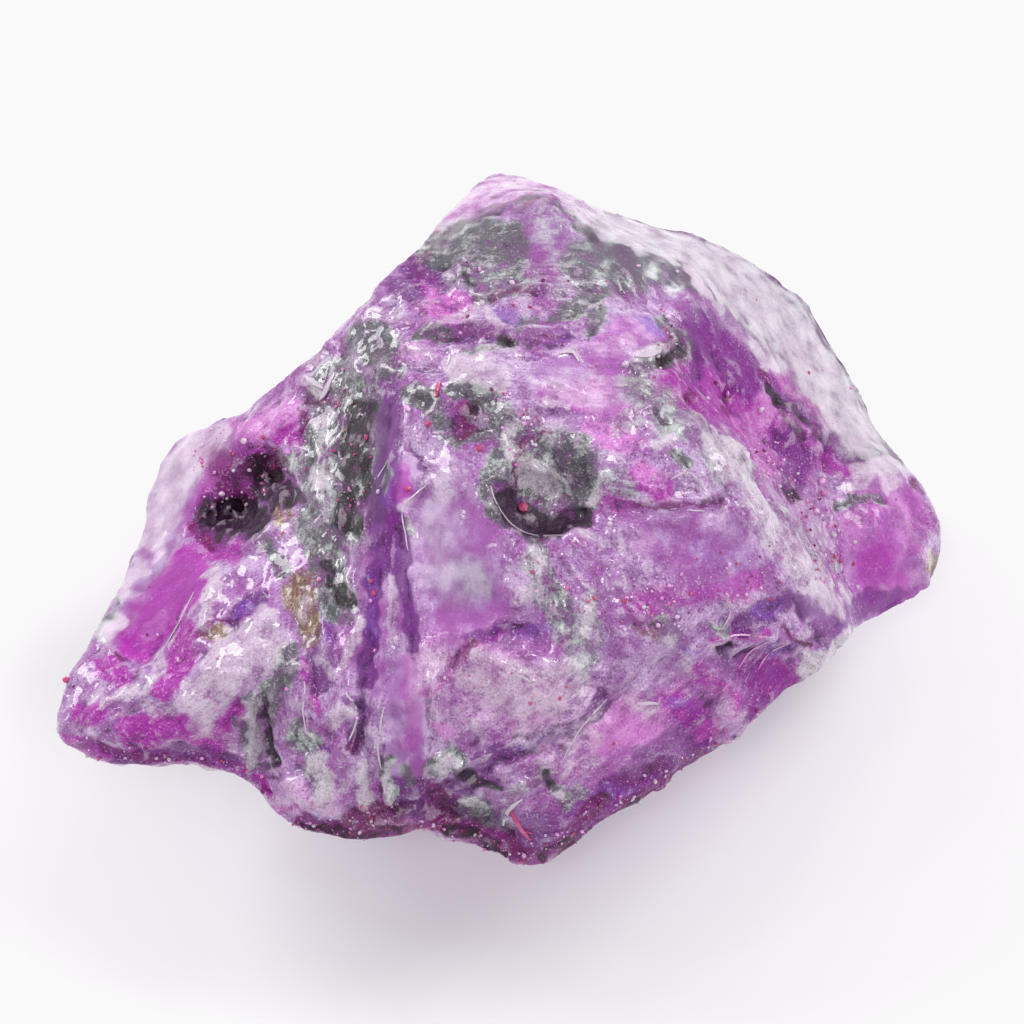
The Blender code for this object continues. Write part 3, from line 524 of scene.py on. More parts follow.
        "brown grains": (9, 0.4, (644, 622), (664, 634)),
        "knot": (5, 0.3, (720, 652), (726, 648)),
        "ochre left": (6, 0.7, (287, 588), (290, 606)),
        "ochre right": (7, 0.8, (314, 588), (310, 604), (318, 634)),
        "ochre foot": (5, 0.6, (300, 644), (318, 640)),
    },
}

# Ridges and furrows of the near side: half width in pixels, height in millimetres, pixels
RIDGES = {
    "pit rim": (5, 0.22, (490, 476), (491, 504), (508, 527), (532, 539), (562, 539), (588, 534)),
    "pit bottom": (13, -0.35, (510, 512), (532, 522), (556, 524), (582, 518)),
    "pit lump": (28, 0.8, (540, 462), (560, 484)),
    "pit brow": (9, 0.2, (500, 424), (504, 458), (498, 480)),
    "small pit": (15, 1.3, (464, 414), (476, 414)),
    "left pit": (17, 1.6, (218, 514), (238, 520)),
    "second left pit": (15, 1.6, (266, 484), (278, 492)),
    "cleft": (4, -0.5, (330, 406), (308, 416), (298, 438)),
    "cleft blade": (7, 0.35, (308, 378), (322, 386)),
    "second cleft blade": (6, 0.35, (324, 398), (336, 372)),
    "light rib": (9, 0.2, (332, 412), (312, 436), (316, 472), (322, 502)),
    "grey rib": (7, 0.22, (350, 430), (348, 480), (344, 530)),
    "grey furrow": (6, -0.22, (366, 430), (366, 480), (358, 540)),
    "lens": (16, 0.25, (406, 462), (400, 490)),
    "lens edge": (4, 0.15, (392, 456), (381, 488), (390, 506)),
    "lens line": (3, -0.2, (408, 445), (420, 460), (432, 475)),
    "panel top": (18, 0.1, (448, 466), (456, 484)),
    "panel crease": (4, 0.15, (400, 506), (416, 496), (432, 476)),
    "furrow by the panel": (7, -0.35, (396, 530), (402, 570), (410, 620), (412, 660)),
    "left flute": (7, -0.3, (380, 540), (374, 600), (368, 660), (360, 690)),
    "white furrow": (5, 0.25, (395, 566), (391, 610), (390, 644)),
    "left furrow": (6, 0.3, (360, 616), (352, 640), (346, 664)),
    "grey flute": (6, 0.25, (352, 560), (350, 590), (344, 610)),
    "left oval": (10, 0.3, (334, 726), (346, 708)),
    "left ring": (10, 0.25, (320, 656), (332, 672)),
    "seam under the ring": (6, -0.3, (306, 656), (316, 690), (324, 712)),
    "left seam": (3, 0.3, (344, 692), (357, 712), (350, 742), (342, 766)),
    "left seam shade": (6, -0.35, (364, 696), (364, 716), (356, 748)),
    "second left seam": (3, 0.25, (304, 700), (306, 730), (310, 738)),
    "second left seam shade": (7, -0.25, (296, 706), (296, 736), (302, 752)),
    "third left seam": (3, 0.25, (377, 740), (374, 770), (368, 800)),
    "third left seam shade": (5, -0.3, (384, 740), (382, 772), (376, 804)),
    "low white": (9, 0.22, (362, 766), (366, 806)),
    "low flute": (7, 0.2, (390, 760), (389, 800)),
    "smooth column": (17, 0.2, (404, 690), (408, 770)),
    "column side": (4, -0.3, (428, 690), (428, 740), (430, 776)),
    "slit": (6, -0.7, (264, 696), (266, 730), (276, 762)),
    "slit lip": (7, 0.3, (250, 700), (251, 764)),
    "ochre hollow": (12, -0.2, (298, 584), (304, 636)),
    "left of the ochre": (10, 0.25, (258, 540), (272, 562)),
    "pale rib": (6, 0.3, (218, 572), (212, 600), (208, 626)),
    "second pale rib": (5, 0.22, (232, 572), (238, 602)),
    "lavender rib": (11, 0.25, (246, 566), (262, 592)),
    "socket": (8, -0.35, (206, 636), (232, 632)),
    "socket edge": (3, 0.2, (198, 640), (212, 622), (236, 616)),
    "left wedge": (6, -0.3, (236, 618), (254, 606), (266, 594)),
    "plate": (24, 0.3, (212, 694), (226, 662), (258, 644)),
    "plate line": (3, 0.15, (206, 668), (208, 690), (216, 708)),
    "plate foot": (8, -0.3, (206, 742), (226, 724), (242, 704)),
    "left line": (3, 0.25, (190, 606), (172, 644), (158, 658)),
    "left line shade": (6, -0.2, (184, 600), (166, 636), (150, 654)),
    "left knob": (10, 0.3, (136, 684), (114, 704)),
    "second left knob": (10, 0.28, (164, 662), (148, 690)),
    "third left knob": (9, 0.25, (84, 698), (98, 692)),
    "left foot hollow": (7, -0.4, (130, 744), (140, 750)),
    "left gully": (7, -0.3, (126, 660), (136, 672), (140, 690)),
    "left seam high": (4, 0.2, (122, 604), (150, 596)),
    "low lobe": (20, 0.35, (296, 800), (320, 806)),
    "pale panel": (11, 0.25, (316, 764), (326, 796)),
    "low lobe gully": (7, -0.35, (262, 780), (280, 776), (300, 766)),
    "low edge gully": (8, -0.4, (334, 808), (370, 816), (400, 806)),
    "dark flank": (14, -0.5, (440, 806), (480, 818), (510, 832)),
    "low ledge": (5, 0.35, (430, 784), (468, 762), (496, 750), (540, 738), (580, 722), (604, 702)),
    "low ledge shade": (7, -0.35, (432, 796), (470, 774), (500, 762), (544, 750), (584, 734)),
    "low facet": (7, 0.25, (466, 800), (488, 808)),
    "low middle": (9, 0.2, (434, 768), (456, 758)),
    "blob": (5, 0.2, (476, 718), (484, 736), (494, 730)),
    "low arc": (4, 0.3, (577, 730), (571, 752), (564, 772)),
    "second low arc": (5, 0.25, (608, 700), (592, 716)),
    "low arc shade": (6, -0.25, (568, 726), (560, 750), (556, 772)),
    "knot": (7, -0.4, (546, 768), (552, 784)),
    "bottom knob": (12, 0.3, (530, 846), (552, 836)),
    "shell arc": (4, 0.2, (504, 674), (528, 672), (540, 690)),
    "arc": (5, -0.25, (430, 694), (446, 670), (458, 654), (480, 640), (520, 628)),
    "drip": (6, 0.25, (532, 544), (541, 560), (540, 578)),
    "second drip": (5, 0.2, (552, 548), (566, 566), (584, 586)),
    "third drip": (8, -0.18, (556, 590), (566, 626)),
    "right of the pit": (8, 0.22, (598, 494), (606, 512)),
    "plateau break": (5, 0.2, (612, 498), (650, 502), (690, 498), (716, 492)),
    "plateau break shade": (5, -0.12, (616, 508), (652, 511), (692, 508), (722, 502)),
    "plateau arc": (4, 0.25, (664, 486), (680, 471), (700, 480), (712, 490)),
    "plateau arc hollow": (8, -0.2, (676, 488), (694, 490)),
    "high blob": (8, 0.25, (656, 446), (674, 440)),
    "middle step": (4, 0.2, (640, 458), (648, 470), (640, 480)),
    "bubble": (4, 0.25, (722, 597), (732, 610), (724, 628)),
    "bubble heart": (5, -0.2, (720, 606), (721, 620)),
    "pocket": (14, -0.35, (746, 620), (766, 612), (788, 602)),
    "pocket lip": (4, 0.25, (730, 634), (752, 626), (780, 622), (796, 606)),
    "shell hollow": (6, -0.55, (722, 656), (734, 645)),
    "shell slot": (4, -0.4, (738, 662), (752, 645)),
    "second shell hollow": (8, -0.5, (776, 650), (792, 650)),
    "shell rib": (4, 0.35, (712, 646), (734, 636), (756, 634)),
    "second shell rib": (4, 0.35, (732, 660), (746, 644), (764, 636)),
    "third shell rib": (4, 0.3, (752, 664), (764, 648), (784, 640), (800, 650)),
    "fourth shell rib": (4, 0.25, (806, 652), (812, 666)),
    "bevel": (9, 0.2, (852, 630), (826, 652), (796, 676)),
    "bevel groove": (5, -0.3, (840, 626), (816, 644), (790, 664)),
    "triangle": (6, -0.25, (798, 598), (806, 622), (820, 640)),
    "band crest": (5, 0.15, (716, 448), (752, 504), (790, 556), (842, 610)),
    "band groove": (4, -0.15, (700, 452), (740, 512), (784, 566), (822, 606)),
    "band back": (5, -0.2, (742, 460), (776, 512), (812, 556), (846, 600)),
    "valley": (22, -0.4, (700, 384), (738, 410), (770, 440)),
    "valley ridge": (7, 0.3, (744, 404), (756, 430), (772, 452)),
    "valley groove": (6, -0.4, (774, 402), (780, 430), (792, 456)),
    "valley notch": (6, -0.35, (690, 390), (700, 412)),
    "valley pocket": (12, -0.4, (816, 440), (838, 464)),
    "valley floor": (7, -0.3, (788, 488), (800, 494)),
    "lobe crease": (5, -0.35, (838, 508), (862, 502), (886, 502)),
    "lobe shelf": (9, 0.3, (852, 484), (880, 476)),
    "lobe heart": (24, 0.25, (872, 560), (884, 584)),
    "lobe side": (5, -0.2, (842, 560), (852, 590)),
    "hollow": (8, -0.3, (660, 364), (678, 346)),
    "hollow lip": (6, 0.25, (636, 354), (662, 350)),
    "brow right": (16, 0.25, (604, 344), (640, 330)),
    "brow right gully": (6, -0.2, (590, 336), (604, 318), (630, 306)),
    "striped rib": (4, 0.2, (628, 286), (650, 306)),
    "second striped rib": (4, 0.2, (648, 280), (668, 304)),
    "third striped rib": (4, 0.2, (664, 272), (688, 300)),
    "pale spot": (14, 0.25, (458, 370), (496, 380)),
    "under the spot": (8, -0.25, (452, 392), (490, 400)),
    "lump": (12, 0.3, (410, 348), (432, 354)),
    "lump gully": (5, -0.25, (404, 362), (440, 372), (450, 356)),
    "ledge": (6, 0.35, (410, 324), (440, 327), (480, 326), (510, 330), (548, 330)),
    "ledge shade": (6, -0.35, (416, 338), (450, 338), (500, 343), (550, 346)),
    "brow step": (6, 0.25, (424, 308), (446, 300), (466, 302), (474, 316)),
    "high ledge": (5, 0.25, (472, 292), (500, 288), (530, 284), (540, 290)),
    "high ledge shade": (5, -0.3, (480, 300), (506, 298), (536, 296)),
    "higher ledge": (4, 0.2, (530, 272), (566, 268)),
    "grey blades": (5, 0.3, (556, 322), (574, 306), (600, 296)),
    "second grey blades": (5, 0.25, (580, 330), (590, 312), (604, 302)),
    "brow glint": (4, 0.2, (538, 352), (574, 348), (582, 362)),
    "high arc": (4, 0.2, (524, 372), (552, 380), (576, 394), (600, 398)),
    "second high arc": (5, 0.2, (540, 404), (572, 410)),
    "left brow": (9, 0.25, (368, 330), (374, 350), (388, 368)),
    "left brow groove": (5, -0.25, (392, 320), (400, 342), (396, 364)),
    "column": (8, -0.2, (386, 404), (384, 440)),
    "green spot": (9, -0.25, (412, 394), (426, 402)),
    "red seam": (3, -0.2, (412, 400), (424, 416), (432, 432)),
    "left hollow": (18, -0.3, (224, 470), (236, 490)),
    "window": (16, 0.3, (258, 430), (286, 420)),
    "window gully": (6, -0.3, (250, 448), (280, 452), (300, 456)),
    "knob": (8, 0.25, (286, 462), (302, 472)),
    "pit worm": (4, 0.3, (550, 430), (528, 440), (513, 460), (512, 490)),
    "valley facet": (7, 0.3, (702, 352), (712, 400)),
    "second valley facet": (7, 0.3, (730, 364), (740, 398)),
    "third valley facet": (7, 0.35, (790, 404), (790, 440)),
    "fourth valley facet": (7, 0.35, (818, 424), (814, 462)),
    "fifth valley facet": (7, 0.35, (846, 444), (838, 476)),
    "valley facet shade": (6, -0.35, (716, 356), (726, 404)),
    "second valley facet shade": (6, -0.35, (804, 410), (802, 452)),
    "third valley facet shade": (6, -0.35, (832, 434), (828, 470)),
}

# Directions that the fine grain runs in: the angle from across, and the strokes where it does
GRAINS = {
    "upright": (
        86.0,
        {
            "flutes": (60, 1.0, (350, 420), (370, 540), (390, 640), (390, 780)),
            "ochre": (30, 0.8, (300, 560), (290, 700)),
            "panel": (40, 0.5, (450, 540), (470, 640)),
            "drip": (26, 0.7, (545, 550), (560, 640)),
            "slit": (26, 0.9, (256, 680), (262, 780)),
        },
    ),
    "falling": (
        -52.0,
        {
            "band": (40, 1.0, (660, 400), (740, 480), (840, 620)),
            "brow right": (34, 0.8, (630, 280), (690, 320)),
            "second drip": (24, 0.6, (570, 560), (640, 640)),
            "valley": (30, 0.5, (720, 360), (760, 440)),
        },
    ),
    "level": (
        -4.0,
        {
            "brow": (60, 1.0, (420, 300), (500, 290), (560, 300)),
            "ledge": (40, 1.0, (410, 350), (500, 350), (600, 370)),
            "plateau": (30, 0.4, (620, 500), (720, 510)),
            "foot": (24, 0.7, (110, 750), (230, 760)),
        },
    ),
    "rising": (
        40.0,
        {
            "left slope": (60, 1.0, (90, 690), (150, 620), (230, 560)),
            "left": (40, 0.8, (250, 430), (340, 350), (420, 270)),
            "low": (50, 0.9, (440, 790), (540, 740), (640, 700), (740, 680)),
            "plate": (40, 0.7, (190, 710), (260, 640)),
        },
    ),
}

# Waxy places, where the surface is smoother: half width, strength, pixels
CALM = {
    "panel": (42, 1.0, (448, 530), (462, 600)),
    "panel top": (18, 0.5, (448, 468), (456, 484)),
    "lens": (17, 1.0, (404, 470), (398, 492)),
    "column": (20, 1.0, (404, 690), (410, 770)),
    "left column": (13, 1.0, (384, 410), (382, 470), (382, 530)),
    "flutes": (15, 0.8, (376, 560), (372, 640), (366, 690)),
    "right flute": (12, 0.9, (400, 540), (410, 620), (408, 690)),
    "left slope": (26, 0.9, (186, 574), (156, 606), (136, 634)),
    "plateau": (36, 0.6, (670, 534), (730, 556)),
    "brow right": (24, 0.7, (600, 348), (640, 336)),
    "high middle": (26, 0.6, (560, 372), (610, 390)),
    "far slope": (40, 0.9, (620, 234), (740, 280), (810, 350), (880, 440)),
    "far slope left": (22, 0.6, (450, 236), (490, 196), (540, 194)),
    "left far slope": (28, 1.0, (210, 440), (170, 490), (146, 560), (110, 616)),
    "lobe": (36, 0.8, (880, 560), (890, 590)),
    "lobe top": (20, 0.6, (870, 480), (900, 500)),
    "spot": (15, 0.4, (458, 370), (494, 380)),
    "valley": (26, 0.5, (704, 350), (740, 400)),
    "window": (18, 0.3, (256, 432), (286, 418)),
    "triangle": (16, 0.8, (806, 604), (836, 622)),
    "top": (22, 0.5, (540, 236), (600, 262)),
    "shell": (14, 0.5, (772, 670), (782, 684)),
    "low centre": (20, 0.5, (610, 744), (640, 728)),
}

# Places where the plain solid's flats run into each other: half width, strength, pixels
SOFT_PLACES = {
    "pit": (44, 1.0, (552, 462), (572, 476)),
    "plateau": (60, 1.0, (630, 560), (730, 570)),
    "middle": (50, 0.9, (540, 600), (610, 650)),
    "low centre": (60, 0.9, (480, 690), (600, 700), (680, 690)),
    "band": (30, 0.8, (700, 430), (830, 600)),
    "right low": (40, 0.8, (640, 760), (740, 690)),
    "lobe": (50, 0.9, (870, 520), (890, 580)),
    "high middle": (50, 0.7, (560, 380), (630, 420)),
    "far slope": (50, 0.9, (640, 240), (740, 280), (810, 350), (870, 430)),
}

# How the solid is cut finer and smoothed, in rounds, and how far round the near side goes
CUTTING_ROUNDS = 6
SIDEWAYS = -0.2
BASE_SMOOTHING = 8
DEEP_SMOOTHING = 60
EASING = 0.5

# How squarely a place faces the eye where the near side, the ridges and the full relief start,
# and where each of them is whole
NEAR_FACING = (-0.05, 0.12)
RIDGE_FACING = (0.05, 0.35)
RELIEF_FACING = (0.0, 0.35)
RIM_RELIEF = 0.4
SEEN_FACING = 0.1

# Noise: its seed, how each octave follows the one before, and the seeds' spread
NOISE_SEED = 4
OCTAVE_FADE = 0.9
OCTAVE_STEP = 2.1
SEED_SPREAD = 7.31

# Layers of the broken surface: wave size in millimetres, seed, height in millimetres
SWELL = (3.2, 11.0, 0.12)
FACETS = (1.9, 3.0, 0.6)
CHIPS = (0.8, 5.0, 0.3)
PITTING = (0.6, 17.0, 0.06)
STREAKS = (0.42, 23.0, 0.08)
FACET_EASING = 3
SCOOP_DEPTH = 0.6
SCOOP_MEAN = 0.05

# The share of the liveliness that a waxy place takes away, and what is left of facets and streaks
CALMING = 0.75
CALM_FACETS = 0.15
CALM_STREAKS = 0.4

# How a stroke fades towards its sides, and how high ridges and furrows are drawn
STROKE_FEATHER = 1.35
STROKE_CORE = 0.55
RIDGE_FEATHER = 1.35
RIDGE_BULGE = 1.6
RAISED_SHARE = 0.38
SUNKEN_SHARE = 0.5

# Wobble of the drawn strokes: wave size in millimetres, reach in pixels, seed
ZONE_WOBBLES = ((1.3, 7.0, 31.0), (0.5, 6.0, 37.0))
RIDGE_WOBBLE = (0.9, 4.0, 41.0)

# Ridges come and go: wave size and seed, mean and swing, least and most
RIDGE_PATCHES = (0.7, 43.0)
RIDGE_PRESENCE = (0.8, 0.9)
RIDGE_LIMITS = (0.2, 1.5)

# The grain: how long its waves are, in the shape and in the finish, and its least weight
GRAIN_LENGTH = 4.0
FLOW_LENGTH = 7.0
GRAIN_LEAST = 0.25

# What the finish reads of the shape: rounds and span in millimetres of a crest, and its weight
CRESTS = ((2, 0.02, 0.2), (16, 0.08, 0.25))

# Soft clouds that the finish reads: wave size in millimetres, seed, octaves
CLOUDS = {"cloud": (2.2, 61.0, 3), "swirl": (0.8, 67.0, 4)}
CLOUD_SWING = 0.7

# Patches of the far side: size in millimetres, first seed, softness of their edge, and the share
# of the far side that each colour zone covers
FAR_PATCH = 4.5
FAR_SEED = 50.0
FAR_SOFTNESS = 0.25
FAR_SHARES = {
    "plum": 0.16,
    "magenta": 0.2,
    "pink": 0.08,
    "maroon": 0.03,
    "violet": 0.04,
    "grey": 0.2,
    "pale": 0.3,
    "coal": 0.02,
    "rust": 0.015,
}

# How far a colour zone stands out or lies back, in millimetres
ZONE_RISES = {"pale": 0.03, "grey": 0.02, "plum": -0.05, "maroon": -0.05, "coal": -0.08}

# Lamps: azimuth and elevation in degrees, size in metres, and power in watts
LAMPS = {
    "left window": (-60.0, 35.0, 0.12, 0.47),
    "right window": (60.0, 45.0, 0.12, 0.34),
    "back window": (30.0, 35.0, 0.12, 0.08),
    "front right": (135.0, 45.0, 0.12, 0.18),
    "front": (180.0, 62.0, 0.12, 0.06),
    "front spark": (200.0, 66.0, 0.035, 0.06),
    "spark": (15.0, 60.0, 0.02, 0.02),
    "left spark": (-80.0, 55.0, 0.02, 0.02),
}
LAMP_DISTANCE = 0.3
LAMP_AIM = Vector((0.0, 0.0, 0.008))
WHITE_LIGHT = (1.0, 1.0, 1.0, 1.0)
FLOOR_SIDES = 96


def length_property(label, description, default):
    """A length that a user may change."""
    return FloatProperty(
        name=label, description=description, default=default, unit="LENGTH", precision=6
    )


def share_property(label, description, default, most=10.0):
    """A share or a strength that a user may change."""
    return FloatProperty(name=label, description=description, default=default, min=0.0, max=most)




class StoneSizes(bpy.types.PropertyGroup):
    """Sizes of the stone's surface."""

    near_edge: length_property(
        "Near edge", "Longest edge of the mesh on the side that the eye sees", 0.212 * MM
    )
    far_edge: length_property("Far edge", "Longest edge of the mesh on the far side", 0.5 * MM)
    relief: share_property("Relief", "Share of the drawn height of the ridges and furrows", 1.0)
    chips: share_property("Chips", "Share of the height of the broken facets and the grain", 1.0)


def blend_step(values, low, high):
    """0 below low, 1 above high, and a smooth rise between them."""
    share = np.clip((values - low) / (high - low), 0.0, 1.0)
    return share * share * (3.0 - 2.0 * share)


def refine(bm, near_edge, far_edge):
    """Cut the mesh finer until no edge is longer than its side's limit."""
    for _ in range(CUTTING_ROUNDS):
        bm.normal_update()
        long_edges = []
        for edge in bm.edges:
            facing = max(vert.normal.dot(TO_EYE) for vert in edge.verts)
            limit = near_edge if facing > SIDEWAYS else far_edge
            if edge.calc_length() > limit:
                long_edges.append(edge)
        if not long_edges:
            return
        bmesh.ops.subdivide_edges(bm, edges=long_edges, cuts=1)
        bmesh.ops.triangulate(bm, faces=bm.faces, quad_method="SHORT_EDGE")


def read_points(mesh):
    """The mesh's points, in metres, one row each."""
    points = np.empty(len(mesh.vertices) * 3)
    mesh.vertices.foreach_get("co", points)
    return points.reshape(-1, 3)


def read_normals(mesh):
    """The mesh's normals at its points, one row each."""
    normals = np.empty(len(mesh.vertices) * 3)
    mesh.vertex_normals.foreach_get("vector", normals)
    return normals.reshape(-1, 3)


def read_links(mesh):
    """The pairs of points that the mesh's edges join."""
    links = np.empty(len(mesh.edges) * 2, dtype=np.int32)
    mesh.edges.foreach_get("vertices", links)
    return links.reshape(-1, 2)


def write_points(mesh, points):
    """Put the mesh's points in new places."""
    mesh.vertices.foreach_set("co", points.ravel())
    mesh.update()


def write_mask(mesh, name, values):
    """Keep one number a point on the mesh, for the material to read."""
    layer = mesh.attributes.new(name, "FLOAT", "POINT")
    layer.data.foreach_set("value", np.clip(values, 0.0, 1.0).astype(np.float32))


def neighbour_mean(values, links):
    """The mean over each point's neighbours."""
    count = len(values)
    degree = np.bincount(links.ravel(), minlength=count)
    total = np.empty_like(values)
    for axis in range(values.shape[1]):
        column = values[:, axis]
        total[:, axis] = np.bincount(links[:, 0], column[links[:, 1]], count)
        total[:, axis] += np.bincount(links[:, 1], column[links[:, 0]], count)
    return total / degree[:, None]


def eased(values, links, rounds):
    """The values after some rounds of moving towards their neighbours' mean."""
    for _ in range(rounds):
        values = values + EASING * (neighbour_mean(values, links) - values)
    return values


def eased_heights(height, links, rounds):
    """Heights after some rounds of moving towards their neighbours' mean."""
    return eased(height[:, None], links, rounds)[:, 0]


def seen_at(points):
    """The pixels of the eye's picture that the points fall on."""
    place = points / MM - np.array(LOOKED_AT)
    nearness = place @ np.array(TO_EYE)
    scale = PIXELS_PER_MM * EYE_DISTANCE / (EYE_DISTANCE - nearness)
    across = PICTURE / 2 + scale * (place @ np.array(ACROSS))
    down = PICTURE / 2 - scale * (place @ np.array(UPWARD))
    return np.stack([across, down], axis=1)


def facing_eye(points, normals):
    """How squarely each point's surface faces the eye, from -1 to 1."""
    eye = (np.array(LOOKED_AT) + EYE_DISTANCE * np.array(TO_EYE)) * MM
    sight = eye - points
    sight /= np.linalg.norm(sight, axis=1)[:, None]
    return np.einsum("ij,ij->i", normals, sight)


def stroke_reach(spots, stroke_points, half_width):
    """1 on a stroke's line, falling evenly to 0 at its half width."""
    nearest = np.full(len(spots), np.inf)
    corners = np.array(stroke_points, dtype=float)
    for start, end in zip(corners, corners[1:]):
        run = end - start
        along = np.clip((spots - start) @ run / (run @ run), 0.0, 1.0)
        away = np.linalg.norm(spots - start - along[:, None] * run, axis=1)
        nearest = np.minimum(nearest, away)
    return np.clip(1.0 - nearest / half_width, 0.0, 1.0)


def noise_places(points, size, seed, stretch=None):
    """Where each point falls in noise with waves of this size in millimetres."""
    shift = Vector((seed, 2.0 * seed, 3.0 * seed))
    places = points / (size * MM)
    if stretch is not None:
        places = places @ stretch
    return [Vector(place) + shift for place in places]


def wander(points, size, reach, seed):
    """A smooth wobble of up to about reach pixels."""
    moves = [noise.noise_vector(place) for place in noise_places(points, size, seed)]
    return np.array(moves)[:, :2] * reach


def noise_at(points, size, seed, octaves, stretch=None):
    """Fractal noise, with waves of this size in millimetres, at each point."""
    places = noise_places(points, size, seed, stretch)
    return np.array([noise.fractal(place, OCTAVE_FADE, OCTAVE_STEP, octaves) for place in places])


def facets_at(points, size, seed):
    """Height of shallow scoops, each of which leans its own way, that meet in ridges."""
    leans = {}
    heights = []
    for spot in noise_places(points, size, seed):
        scoops = []
        for distance, middle in zip(*noise.voronoi(spot)):
            key = tuple(middle)
            if key not in leans:
                leans[key] = noise.noise_vector(middle * SEED_SPREAD)
            lean = leans[key].dot(spot - middle)
            scoops.append(lean + SCOOP_DEPTH * distance * distance)
        heights.append(min(scoops))
    return np.array(heights) - SCOOP_MEAN


def grain_axes(angle):
    """The directions along and across an angle of the eye's picture, and towards the eye."""
    turn = math.radians(angle)
    run = ACROSS * math.cos(turn) + UPWARD * math.sin(turn)
    side = UPWARD * math.cos(turn) - ACROSS * math.sin(turn)
    return run, side, TO_EYE


def along_grain(angle, length):
    """Turns space so that noise runs along an angle of the eye's picture, stretched."""
    run, side, away = grain_axes(angle)
    return np.array([run / length, side, away]).T


def painted(spots, strokes):
    """The strongest of several strokes at each spot."""
    value = np.zeros(len(spots))
    for half_width, strength, *stroke_points in strokes.values():
        reach = stroke_reach(spots, stroke_points, half_width * STROKE_FEATHER)
        value = np.maximum(value, strength * blend_step(reach, 0.0, STROKE_CORE))
    return value


def ridge_height(spots, patchiness):
    """Height of all the ridges and furrows at each spot, in millimetres."""
    height = np.zeros(len(spots))
    for half_width, rise, *stroke_points in RIDGES.values():
        reach = stroke_reach(spots, stroke_points, half_width * RIDGE_FEATHER)
        share = RAISED_SHARE if rise > 0.0 else SUNKEN_SHARE
        bulge = RIDGE_BULGE - (RIDGE_BULGE - 1.0) * reach
        height += rise * share * reach * reach * bulge * patchiness
    return height


def far_zone(points, seed, share):
    """A colour zone of the far side: patches that cover about this share of it."""
    waves = noise_at(points, FAR_PATCH, seed, 3)
    edge = np.quantile(waves, 1.0 - share)
    return blend_step(waves, edge - FAR_SOFTNESS, edge + FAR_SOFTNESS)


def grain_weights(spots, near):
    """How far each direction of the grain holds at each point."""
    return {name: painted(spots, strokes) * near for name, (_, strokes) in GRAINS.items()}


def streaks_at(points, weights):
    """Noise drawn out along the grain, where the grain holds."""
    size, seed, rise = STREAKS
    streaks = np.zeros(len(points))
    for number, (name, (angle, _)) in enumerate(GRAINS.items()):
        turned = along_grain(angle, GRAIN_LENGTH)
        streaks += noise_at(points, size, seed + number, 3, turned) * weights[name]
    return streaks * rise


def surface_height(points, links, weights, calm):
    """How far the broken surface stands out at each point, in millimetres."""
    lively = 1.0 - CALMING * calm
    size, seed, rise = SWELL
    height = noise_at(points, size, seed, 2) * rise
    size, seed, rise = FACETS
    facet_share = CALM_FACETS + (1.0 - CALM_FACETS) * lively
    height += facets_at(points, size, seed) * rise * facet_share
    size, seed, rise = CHIPS
    height += facets_at(points, size, seed) * rise * lively
    height = eased_heights(height, links, FACET_EASING)
    size, seed, rise = PITTING
    height += noise_at(points, size, seed, 3) * rise * lively
    streak_share = CALM_STREAKS + (1.0 - CALM_STREAKS) * lively
    return height + streaks_at(points, weights) * streak_share


def write_grain(mesh, weights):
    """Keep each face's grain: how far it turns and stretches the finish's fine streaks."""
    turns = [(0.0, 0.0, 0.0)]
    stretches = [(1.0, 1.0, 1.0)]
    for angle, _ in GRAINS.values():
        turns.append(tuple(Matrix(grain_axes(angle)).transposed().to_euler()))
        stretches.append((FLOW_LENGTH, 1.0, 1.0))
    plain = np.full(len(mesh.vertices), GRAIN_LEAST)
    choice = np.argmax([plain, *weights.values()], axis=0)
    face_points = np.empty(len(mesh.loops), dtype=np.int32)
    mesh.loops.foreach_get("vertex_index", face_points)
    face_choice = choice[face_points[::3]]
    for name, rows in (("turn", turns), ("stretch", stretches)):
        layer = mesh.attributes.new(name, "FLOAT_VECTOR", "FACE")
        layer.data.foreach_set("vector", np.array(rows)[face_choice].ravel())
    lowest = np.full(len(choice), len(turns))
    highest = np.zeros(len(choice), dtype=int)
    np.minimum.at(lowest, face_points, np.repeat(face_choice, 3))
    np.maximum.at(highest, face_points, np.repeat(face_choice, 3))
    write_mask(mesh, "steady", (lowest == highest).astype(float))


def write_crest(mesh, height, links):
    """Keep how far each point stands above its surroundings, for the painted highlight on crests and the
    painted shade in creases.
    """
    above = 0.5
    for rounds, span, weight in CRESTS:
        above = above + weight * (height - eased_heights(height, links, rounds)) / span
    write_mask(mesh, "crest", above)


def stone_base(sizes):
    """A copy of the plain solid, merged and cut finer."""
    bm = bmesh.new()
    bm.from_mesh(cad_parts[NODE].data)
    bmesh.ops.remove_doubles(bm, verts=bm.verts, dist=SAME_POINT)
    refine(bm, sizes.near_edge, sizes.far_edge)
    mesh = bpy.data.meshes.new("stone")
    bm.to_mesh(mesh)
    bm.free()
    return mesh


def soften(mesh, links):
    """Smooth the plain solid, most where its flats run into each other."""
    points = eased(read_points(mesh), links, BASE_SMOOTHING)
    write_points(mesh, points)
    seen = blend_step(facing_eye(points, read_normals(mesh)), *NEAR_FACING)
    soft = painted(seen_at(points), SOFT_PLACES) * seen
    points += soft[:, None] * (eased(points, links, DEEP_SMOOTHING) - points)
    write_points(mesh, points)
    return points


